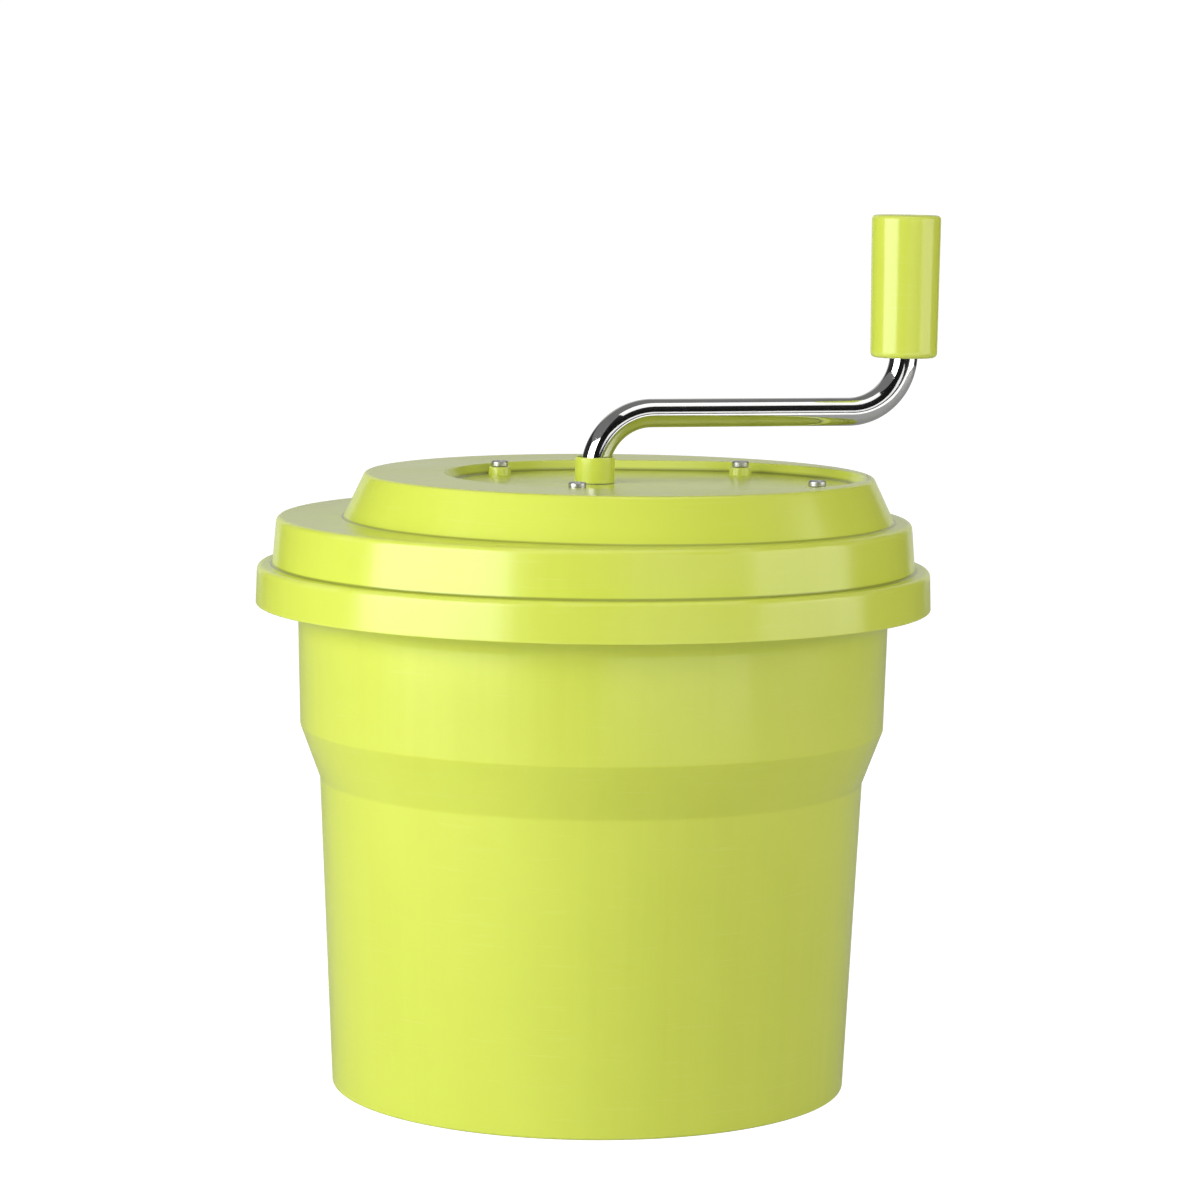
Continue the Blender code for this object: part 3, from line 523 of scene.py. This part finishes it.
def sectors():
    """Return the angles of the points round the basket, and which of them start a slot's part."""
    turns = []
    for slot in range(BASKET_SLOTS):
        turns += [math.radians(slot * 360.0 / BASKET_SLOTS + point) for point in SECTOR_POINTS]
    across = len(SLOT_POINTS) - 1
    slots = {index for index in range(len(turns)) if index % len(SECTOR_POINTS) < across}
    return turns, slots


def bulge(index):
    """Return how far a slot's end stands out at a point of the ring, from 0 to 1."""
    return {1: 0.75, 2: 1.0, 3: 0.75}.get(index % len(SECTOR_POINTS), 0.0)


def basket_ring(radius, z, turns, outwards=0.0, upwards=0.0):
    """Return one ring of the basket, its slot points moved to round off the slots' ends."""
    ring = []
    for index, a in enumerate(turns):
        reach = radius + outwards * bulge(index)
        ring.append((reach * math.cos(a), reach * math.sin(a), z + upwards * bulge(index)))
    return ring


def wall_radius(z):
    """Return the basket's inner radius at a height on its tapered wall."""
    foot_radius, foot = WALL_FOOT
    head_radius, head = WALL_HEAD
    return foot_radius + (z - foot) / (head - foot) * (head_radius - foot_radius)


def pierced(inner, outer, holes):
    """Return a shell between two sets of rings, with walls round each hole (row, sector)."""
    mesh = bmesh.new()
    skins = [[add_ring(mesh, ring) for ring in rings] for rings in (inner, outer)]
    rows = len(inner) - 1
    count = len(inner[0])
    for row in range(rows):
        for sector in range(count):
            after = (sector + 1) % count
            if (row, sector) in holes:
                continue
            for rings in skins:
                low = rings[row]
                high = rings[row + 1]
                mesh.faces.new((low[sector], low[after], high[after], high[sector]))
            edges = (
                ((row - 1, sector), row, sector, row, after),
                ((row + 1, sector), row + 1, sector, row + 1, after),
                ((row, (sector - 1) % count), row, sector, row + 1, sector),
                ((row, after), row, after, row + 1, after),
            )
            for beyond, first_row, first, second_row, second in edges:
                if beyond in holes or beyond[0] == rows:
                    corners = (skins[0][first_row][first], skins[0][second_row][second])
                    back = (skins[1][second_row][second], skins[1][first_row][first])
                    mesh.faces.new((*corners, *back))
    return mesh


def basket():
    """Slotted basket: floor with two rings of slots, four rows in its wall, notched flange."""
    turns, slots = sectors()
    inside = ((13.5, 29.5), (14.2, 28.3), (16.0, 13.2), (18.5, BASKET_FLOOR), (27.0, BASKET_FLOOR))
    outside = ((7.8, 25.3), (7.8, 15.8), (11.6, 15.8), (12.0, BASKET_UNDER), (27.0, BASKET_UNDER))
    inner = [basket_ring(radius, z, turns) for radius, z in inside]
    outer = [basket_ring(radius, z, turns) for radius, z in outside]
    rows = set()
    for near, far in FLOOR_ROWS:
        rows.add(len(inner))
        for radius, outwards in ((near, -SLOT_END), (far, SLOT_END)):
            inner.append(basket_ring(radius, BASKET_FLOOR, turns, outwards))
            outer.append(basket_ring(radius, BASKET_UNDER, turns, outwards))
    for radius, z, thick, drop in FOOT_BEND:
        inner.append(basket_ring(radius, z, turns))
        outer.append(basket_ring(radius + thick, z - drop, turns))
    for low, high in SLOT_ROWS:
        rows.add(len(inner))
        for z, upwards in ((low, -SLOT_END), (high, SLOT_END)):
            inner.append(basket_ring(wall_radius(z), z, turns, 0.0, upwards))
            outer.append(basket_ring(wall_radius(z) + BASKET_WALL, z, turns, 0.0, upwards))
    flange_top = ((124.6, 234.0), (125.2, 237.4), (126.4, FLANGE_TOP))
    flange_top += ((136.2, FLANGE_TOP), (137.0, 237.9))
    flange_under = ((126.8, 232.0), (127.6, 235.6), (128.6, 236.0), (136.2, 236.0), (137.0, 236.6))
    notch_row = len(inner) + 2
    inner += [basket_ring(radius, z, turns) for radius, z in flange_top]
    outer += [basket_ring(radius, z, turns) for radius, z in flange_under]
    holes = {(row, sector) for row in rows for sector in slots}
    apart = BASKET_SLOTS // NOTCHES * len(SECTOR_POINTS)
    for start in range(len(SLOT_POINTS) - 1, len(turns), apart):
        notch = range(start, start + len(RIB_POINTS) + 1)
        holes |= {(row, sector) for row in (notch_row, notch_row + 1) for sector in notch}
    mesh = pierced(inner, outer, holes)
    crown = filleted([inside[0], (13.5, 30.5, 0.9), (1.0, 30.5)])
    for profile in (crown, outside[:1]):
        rings = [add_ring(mesh, basket_ring(radius, z, turns)) for radius, z in profile]
        rings.append(add_ring(mesh, [(0.0, 0.0, profile[-1][1])]))
        for first, second in zip(rings, rings[1:]):
            join_rings(mesh, first, second)
    bmesh.ops.remove_doubles(mesh, verts=mesh.verts[:], dist=1e-7)
    soften(piece("basket_shell", mesh, "white_plastic", "basket", ["basket"]), 0.35)


# ---------------------------------------------------------------- lid

def lid():
    """Stepped lid: skirt, tier, off-centre dome and an oblong recess on its top."""
    recess_under = RECESS_FLOOR - LID_WALL
    dome_under = DOME_TOP - LID_WALL
    tier_under = TIER_TOP - LID_WALL
    skirt_under = SKIRT_TOP - LID_WALL
    recess = [(60.0, RECESS_FLOOR), (81.4, RECESS_FLOOR, 2.0)]
    recess += [(84.4, DOME_TOP, 1.0), (86.2, DOME_TOP)]
    dome = [(121.0, DOME_TOP), (123.9, DOME_TOP, 2.8), (134.3, TIER_TOP, 1.6), (136.4, TIER_TOP)]
    tiers = [
        (149.4, TIER_TOP),
        (155.0, TIER_TOP, 7.5),
        (157.0, SKIRT_TOP, 1.3),
        (164.3, SKIRT_TOP, 2.6),
        (165.0, SKIRT_BOTTOM, 0.7),
        (162.6, SKIRT_BOTTOM, 0.5),
        (162.3, skirt_under, 0.8),
        (154.3, skirt_under, 1.0),
        (153.6, tier_under, 4.0),
        (140.0, tier_under),
    ]
    rings = [circle(CRANK_BORE_R, recess_under), circle(CRANK_BORE_R, RECESS_FLOOR - 0.3)]
    rings += [circle(CRANK_BORE_R + 0.3, RECESS_FLOOR), circle(30.0, RECESS_FLOOR)]
    rings += [oblong(radius, z) for radius, z in filleted(recess)]
    rings += [circle(radius, z, DOME_CENTRE) for radius, z in filleted(dome, 6)]
    rings += [circle(radius, z) for radius, z in filleted(tiers, 7)]
    rings += [
        circle(131.8, tier_under, DOME_CENTRE),
        circle(121.8, dome_under, DOME_CENTRE),
        oblong(86.5, dome_under),
        oblong(85.5, recess_under),
    ]
    piece("lid_shell", skin(rings, looped=True), "lime_plastic", "lid", ["lid_cover"])
    root = RECESS_FLOOR - 1.5
    boss = [(5.4, root), (5.8, RECESS_FLOOR, 0.8), (5.3, BOSS_TOP, 0.6)]
    boss += [(2.4, BOSS_TOP, 0.2), (2.4, root)]
    for number, spot in enumerate(SCREW_PLACES, start=1):
        mesh = skin(turned_rings(filleted(boss), FINE, spot), looped=True)
        piece(f"screw_boss_{number}", mesh, "lime_plastic", "lid", [])


def screws():
    """Cheese-headed screws with a socket, one in each boss."""
    screw = [
        (0.0, SOCKET_FLOOR),
        (1.5, SOCKET_FLOOR),
        (1.5, SCREW_TOP, 0.2),
        (4.2, SCREW_TOP, 0.9),
        (4.2, BOSS_TOP + GAP, 0.2),
        (2.0, BOSS_TOP + GAP, 0.3),
        (2.0, SCREW_END, 0.5),
        (0.0, SCREW_END),
    ]
    for number, spot in enumerate(SCREW_PLACES, start=1):
        mesh = skin(turned_rings(filleted(screw), FINE, spot))
        piece(f"case_screw_{number}_steel", mesh, "steel", "lid", [f"case_screw_{number}"])


# ---------------------------------------------------------------- crank

def rod_route(steps):
    """Return (distance along the arm, height, tangent angle) down the rod's centreline."""
    route = []
    for step in range(steps + 1):
        turn = math.pi / 2 * step / steps
        along = ROD_BEND_R * (1 - math.cos(turn))
        height = ROD_LEVEL - ROD_BEND_R + ROD_BEND_R * math.sin(turn)
        route.append((along, height, math.pi / 2 - turn))
    straight = THROW - 2 * ROD_BEND_R
    for step in range(1, 12):
        route.append((ROD_BEND_R + straight * step / 12, ROD_LEVEL, 0.0))
    for step in range(steps + 1):
        turn = math.pi / 2 * step / steps
        along = THROW - ROD_BEND_R + ROD_BEND_R * math.sin(turn)
        height = ROD_LEVEL + ROD_BEND_R - ROD_BEND_R * math.cos(turn)
        route.append((along, height, turn))
    return route


def rod_ring(along, z, tangent, radius, square=False):
    """Return a ring square to the rod, round or with four rounded flats."""
    ring = []
    for index in range(FINE):
        a = index * math.tau / FINE
        reach = radius
        if square:
            off_flat = (a + math.pi / 4) % (math.pi / 2) - math.pi / 4
            reach = min(radius / math.cos(off_flat), radius * 1.34)
        across = reach * math.cos(a)
        side = reach * math.sin(a)
        level = along - across * math.sin(tangent)
        x = level * math.cos(ARM_AZIMUTH) - side * math.sin(ARM_AZIMUTH)
        y = level * math.sin(ARM_AZIMUTH) + side * math.cos(ARM_AZIMUTH)
        ring.append((x, y, z + across * math.cos(tangent)))
    return ring


def crank():
    """Chromed rod, its collar, and the turning grip with its cap."""
    up = math.pi / 2
    lower_hole = ROD_END + TAPPED_DEPTH
    upper_hole = ROD_TOP - TAPPED_DEPTH
    below = (
        (lower_hole, TAPPED_R, False),
        (ROD_END, TAPPED_R, False),
        (ROD_END, SQUARE_HALF - 0.2, True),
        (ROD_END + 0.3, SQUARE_HALF, True),
        (SQUARE_TOP, SQUARE_HALF, True),
        (SQUARE_TOP, ROD_R - 0.3, False),
        (SQUARE_TOP + 0.3, ROD_R, False),
    )
    above = ((ROD_TOP - 0.4, ROD_R), (ROD_TOP, ROD_R - 0.4))
    above += ((ROD_TOP, TAPPED_R), (upper_hole, TAPPED_R))
    rings = [[(0.0, 0.0, lower_hole)]]
    rings += [rod_ring(0.0, z, up, radius, square) for z, radius, square in below]
    rings += [rod_ring(along, z, tangent, ROD_R) for along, z, tangent in rod_route(32)]
    rings += [rod_ring(THROW, z, up, radius) for z, radius in above]
    rings.append([(*GRIP_AXIS, upper_hole)])
    piece("crank_rod", skin(rings), "chromed_rod", "crank", ["crank_arm"])

    collar = [
        (ROD_R + GAP, RECESS_FLOOR + GAP, 0.2),
        (9.75, RECESS_FLOOR + GAP, 0.3),
        (9.75, COLLAR_TOP, 0.7),
        (ROD_R + 1.8, COLLAR_TOP, 0.4),
        (7.35, 303.0),
    ]
    turned("crank_collar", collar, "lime_plastic", "crank", ["crank_hub"], MEDIUM)

    grip = [
        (10.0, GRIP_BOTTOM, 0.4),
        (16.6, GRIP_BOTTOM, 2.4),
        (17.2, GRIP_TOP, 3.4),
        (PLUG_BORE_R, GRIP_TOP, 0.3),
        (PLUG_BORE_R, GRIP_STEP, 0.2),
        (10.0, GRIP_STEP, 0.2),
    ]
    turned("grip_sleeve", grip, "lime_plastic", "grip", ["grip"], MEDIUM, GRIP_AXIS)
    plug_r = PLUG_BORE_R - GAP
    plug_top = GRIP_TOP - 0.2
    plug = [(0.0, PLUG_BOTTOM), (plug_r, PLUG_BOTTOM, 0.4), (plug_r, plug_top, 0.5)]
    plug += [(9.5, plug_top, 0.6), (0.0, plug_top - 0.4)]
    turned("grip_plug", plug, "lime_plastic", "grip", ["grip_cap"], MEDIUM, GRIP_AXIS, looped=False)


# ---------------------------------------------------------------- gear case and driver

def case():
    """Round pan under the gears, open for the output shaft, with its pillars and boss."""
    pan = [
        (60.0, CASE_BOTTOM),
        (100.0, CASE_BOTTOM, 2.2),
        (100.0, CASE_TOP, 0.8),
        (97.8, CASE_TOP, 0.8),
        (97.8, CASE_FLOOR, 2.0),
        (60.0, CASE_FLOOR),
    ]
    rings = [circle(CASE_BORE_R, CASE_BOTTOM)]
    rings += [circle(radius, z, CASE_CENTRE) for radius, z in filleted(pan)]
    rings.append(circle(CASE_BORE_R, CASE_FLOOR))
    piece("case_pan", skin(rings, looped=True), "white_plastic", "lid", ["gearcase_cover"])
    pillar = [
        (2.3, PILLAR_BOTTOM),
        (5.8, PILLAR_BOTTOM),
        (5.8, CASE_FLOOR, 0.8),
        (5.0, 266.0),
        (5.0, CASE_TOP, 0.5),
        (2.3, CASE_TOP),
    ]
    for number, spot in enumerate(SCREW_PLACES, start=1):
        mesh = skin(turned_rings(filleted(pillar), FINE, spot), looped=True)
        piece(f"case_pillar_{number}", mesh, "white_plastic", "lid", [])
    boss = [(4.4, PILLAR_BOTTOM), (8.8, PILLAR_BOTTOM), (8.8, CASE_FLOOR, 0.7)]
    boss += [(8.0, CASE_FLOOR + 2.5, 0.5), (4.4, CASE_FLOOR + 2.5)]
    mesh = skin(turned_rings(filleted(boss), FINE, COUNTER_AXIS), looped=True)
    piece("case_shaft_boss", mesh, "white_plastic", "lid", [])


def spider_ring(radius, half_spoke, z):
    """Return a ring whose points follow the edges of the driver's tapered spokes."""
    ring = []
    step = math.tau / NOTCHES
    for index in range(NOTCHES):
        middle = SPOKE_TURN + index * step
        turns = [middle + half_spoke * part for part in SPOKE_PARTS]
        edge = turns[-1]
        gap = step - 2 * half_spoke
        turns += [edge + gap * part / SPIDER_GAPS for part in range(1, SPIDER_GAPS)]
        ring += [(radius * math.cos(a), radius * math.sin(a), z) for a in turns]
    return ring


def bore_ring(ring, half, z):
    """Return the square bore's outline, a point in line with each point of a ring."""
    outline = []
    for x, y, _ in ring:
        scale = half / max(abs(x), abs(y))
        outline.append((x * scale, y * scale, z))
    return outline


def squared(wave):
    """Return a sine or cosine pushed towards 1 and -1, which turns a circle into a soft square."""
    return math.copysign(abs(wave) ** LUG_POWER, wave)


def lug_ring(turn, inset, z):
    """Return the rounded outline of one of the driver's lugs."""
    ring = []
    for index in range(LUG_POINTS):
        a = (index + 0.5) * math.tau / LUG_POINTS
        along = LUG_R + squared(math.cos(a)) * (LUG_HALF[0] - inset)
        across = squared(math.sin(a)) * (LUG_HALF[1] - inset)
        x = along * math.cos(turn) - across * math.sin(turn)
        y = along * math.sin(turn) + across * math.cos(turn)
        ring.append((x, y, z))
    return ring


def driver():
    """Spider with six tapered spokes and a rim, whose lugs stand in the basket's notches."""
    hub_above = ((12.4, HUB_TOP), (13.0, HUB_TOP - 0.6), (13.6, 250.2), (15.0, DRIVER_TOP))
    hub_below = ((12.4, HUB_BOTTOM), (13.0, HUB_BOTTOM + 0.6), (13.3, 245.8), (15.0, DRIVER_BOTTOM))
    spokes = ((30.0, 0.24), (31.5, 0.2), (52.0, 0.14), (74.0, 0.107), (96.0, 0.085))
    spokes += ((116.0, 0.078), (118.0, RIM_SPREAD))
    rim = ((124.0, 0.0), (133.2, 0.0), (134.0, 0.8))
    above = [(radius, HUB_SPREAD, z) for radius, z in hub_above]
    below = [(radius, HUB_SPREAD, z) for radius, z in hub_below]
    above += [(radius, half, DRIVER_TOP) for radius, half in spokes]
    below += [(radius, half, DRIVER_BOTTOM) for radius, half in spokes]
    above += [(radius, RIM_SPREAD, DRIVER_TOP - rounding) for radius, rounding in rim]
    below += [(radius, RIM_SPREAD, DRIVER_BOTTOM + rounding) for radius, rounding in rim]
    upper = [spider_ring(*station) for station in above]
    lower = [spider_ring(*station) for station in below]
    upper.insert(0, bore_ring(upper[0], BORE_HALF, HUB_TOP))
    lower.insert(0, bore_ring(lower[0], BORE_HALF, HUB_BOTTOM))
    across = len(SPOKE_PARTS) - 1
    points = across + SPIDER_GAPS
    gaps = {index for index in range(NOTCHES * points) if index % points >= across}
    first = 1 + len(hub_above)
    holes = {(row, sector) for row in range(first, first + len(spokes) - 1) for sector in gaps}
    mesh = pierced(upper, lower, holes)
    join_rings(mesh, add_ring(mesh, upper[0]), add_ring(mesh, lower[0]))
    bmesh.ops.remove_doubles(mesh, verts=mesh.verts[:], dist=1e-7)
    soften(piece("driver_spider", mesh, "white_plastic", "driver", ["basket_driver"]), 0.3)
    ends = ((0.0, LUG_TOP), (0.0, 237.0), (0.5, LUG_END + 0.8), (1.1, LUG_END + 0.1), (2.0, LUG_END))
    for index in range(NOTCHES):
        turn = SPOKE_TURN + index * math.tau / NOTCHES
        middle = (LUG_R * math.cos(turn), LUG_R * math.sin(turn))
        rings = [[(*middle, LUG_TOP)]]
        rings += [lug_ring(turn, inset, z) for inset, z in ends]
        rings.append([(*middle, LUG_END)])
        piece(f"driver_lug_{index + 1}", skin(rings), "white_plastic", "driver", [])


# ---------------------------------------------------------------- remaining CAD nodes

def finish_nodes():
    """Give every CAD node that still shows its slot's finish and softened edges."""
    slots = {part["node"]: part["material_slot"] for part in frame["record"]["subparts"]}
    for name, node in frame["nodes"].items():
        node.data.materials.clear()
        node.data.materials.append(finishes[slots[name]])
        soften(node, 0.15)


# ---------------------------------------------------------------- stage

PALE = 0.22                    # shade of the walls and of the floor that the camera sees


def compass(azimuth, distance, height):
    """Return a point round the object: azimuth 0 is towards the camera, positive to the right."""
    a = math.radians(azimuth)
    return Vector((distance * math.sin(a), -distance * math.cos(a), height))


def faced(place, target):
    """Return the turn that points an object's -Z axis from a place to a target."""
    return (Vector(place) - Vector(target)).to_track_quat("Z", "Y").to_euler()


def softbox(name, place, target, size, radiance, colour, mirrored=True):
    """Add a rectangular light of a given brightness, looking at a target.

    One that isn't mirrored lights the object without showing in the chrome.
    """
    data = bpy.data.lights.new(name, "AREA")
    data.shape = "RECTANGLE"
    data.size = size[0]
    data.size_y = size[1]
    data.energy = radiance * math.pi * size[0] * size[1]
    data.color = colour
    made = bpy.data.objects.new(name, data)
    made.location = place
    made.rotation_euler = faced(place, target)
    made.visible_glossy = mirrored
    bpy.context.scene.collection.objects.link(made)


def stage_mesh(name, points, faces, shade, glow):
    """Add a plain grey piece of the studio, which may also glow: a card, a wall or a floor."""
    colour = (shade, shade, shade)
    data = bpy.data.meshes.new(name)
    data.from_pydata(points, [], faces)
    made = bpy.data.objects.new(name, data)
    shader = Shader(name + "_card")
    paler = tuple(value * 1.04 for value in colour)
    tint = shader.mix(shader.noise(3.0, 3.0), colour, paler)
    shader.link(tint, shader.surface.inputs["Base Color"])
    shader.set(Roughness=0.95, Emission_Color=(1.0, 1.0, 1.0, 1.0), Emission_Strength=glow)
    data.materials.append(shader.material)
    bpy.context.scene.collection.objects.link(made)
    return made


def curved(azimuths, low, high, steps):
    """Return the points and faces of a curved wall between two azimuths.

    Its lower and upper edges are each given as a distance and a height.
    """
    points = []
    for step in range(steps + 1):
        azimuth = azimuths[0] + (azimuths[1] - azimuths[0]) * step / steps
        points.append(compass(azimuth, *low))
        points.append(compass(azimuth, *high))
    return points, [(2 * k, 2 * k + 2, 2 * k + 3, 2 * k + 1) for k in range(steps)]


def card(name, azimuths, low, high, shade, glow=0.0):
    """Add a curved card that only reflections see."""
    points, faces = curved(azimuths, low, high, 16)
    made = stage_mesh(name, points, faces, shade, glow)
    made.visible_camera = False
    made.visible_diffuse = False
    made.visible_shadow = False


def seen_by(made, camera, light):
    """Choose whether the camera sees a piece of the studio, and whether light does."""
    made.visible_camera = camera
    made.visible_diffuse = light
    made.visible_glossy = light
    made.visible_shadow = light


def wide_floor(name, height, shade, glow, seen):
    """Add a wide floor, either seen by the camera or lighting the object from below."""
    points = [(-40.0, -12.0, height), (40.0, -12.0, height), (40.0, 40.0, height)]
    points.append((-40.0, 40.0, height))
    made = stage_mesh(name, points, [(0, 1, 2, 3)], shade, glow)
    seen_by(made, camera=seen, light=not seen)


def surround(name, azimuths, distance, glow):
    """Add a part of the room's wall, which only the camera sees."""
    points, faces = curved(azimuths, (distance, -1.0), (distance, 6.0), 48)
    made = stage_mesh(name, points, faces, PALE, glow)
    seen_by(made, camera=True, light=False)


def lights():
    """Soft pale light from all round, and four softboxes."""
    world = bpy.data.worlds.new("studio")
    world.use_nodes = True
    backing = world.node_tree.nodes["Background"]
    backing.inputs["Color"].default_value = (1.0, 1.0, 1.0, 1.0)
    backing.inputs["Strength"].default_value = 0.22
    bpy.context.scene.world = world
    middle = (0.0, 0.0, 0.25)
    white = (1.0, 1.0, 1.0)
    cool = (0.97, 1.0, 0.98)
    warm = (1.0, 0.98, 0.95)
    softbox("key", compass(-54, 1.8, 0.70), compass(0, 0, 0.70), (1.8, 1.35), 5.0, cool)
    softbox("fill", compass(77, 1.8, 0.66), compass(0, 0, 0.66), (1.4, 1.25), 2.2, warm)
    softbox("top", (0.4, -0.55, 2.2), middle, (1.8, 1.1), 1.3, white)
    softbox("front", compass(25, 3.0, 0.75), middle, (1.6, 1.2), 1.8, white, mirrored=False)


def room():
    """White floor and backdrop, pale walls elsewhere, and the cards that the chrome mirrors."""
    wide_floor("studio_floor", -0.0002, PALE, 1.0, seen=True)
    wide_floor("floor_bounce", -0.0004, 0.40, 0.12, seen=False)
    surround("studio_backdrop", (150.0, 210.0), 24.0, 1.0)
    surround("studio_walls", (-150.0, 150.0), 6.0, 0.66)
    card("card_front", (-26.0, 55.0), (3.6, 0.1), (3.6, 2.4), 0.02)
    card("card_front_high", (-26.0, 62.0), (3.6, 2.4), (1.15, 2.5), 0.02)
    card("card_glow", (12.0, 62.0), (3.4, 0.42), (3.4, 1.05), 0.5, 1.0)
    card("card_strip", (5.0, 60.0), (1.1, 0.002), (3.5, 0.002), 0.5, 1.3)
    card("card_left", (-150.0, -82.0), (2.4, 0.0), (2.4, 1.6), 0.05)
    card("card_right", (99.0, 150.0), (2.4, 0.0), (2.4, 1.6), 0.05)
    card("card_back", (150.0, 210.0), (2.6, 0.0), (2.6, 2.2), 0.18, 0.5)


def look():
    """The camera, and colours shown without a film curve."""
    scene = bpy.context.scene
    scene.view_settings.view_transform = "Standard"
    data = bpy.data.cameras.new("camera")
    data.lens = CAMERA_LENS
    data.sensor_width = SENSOR_WIDTH
    data.clip_end = 100.0
    camera = bpy.data.objects.new("camera", data)
    tilt = Matrix.Rotation(math.radians(90.0 - CAMERA_PITCH), 4, "X")
    roll = Matrix.Rotation(math.radians(CAMERA_ROLL), 4, "Z")
    camera.matrix_world = Matrix.Translation(CAMERA_PLACE) @ tilt @ roll
    scene.collection.objects.link(camera)
    scene.camera = camera


bowl()
pivot()
lid()
screws()
crank()
basket()
case()
driver()
finish_nodes()
lights()
room()
look()
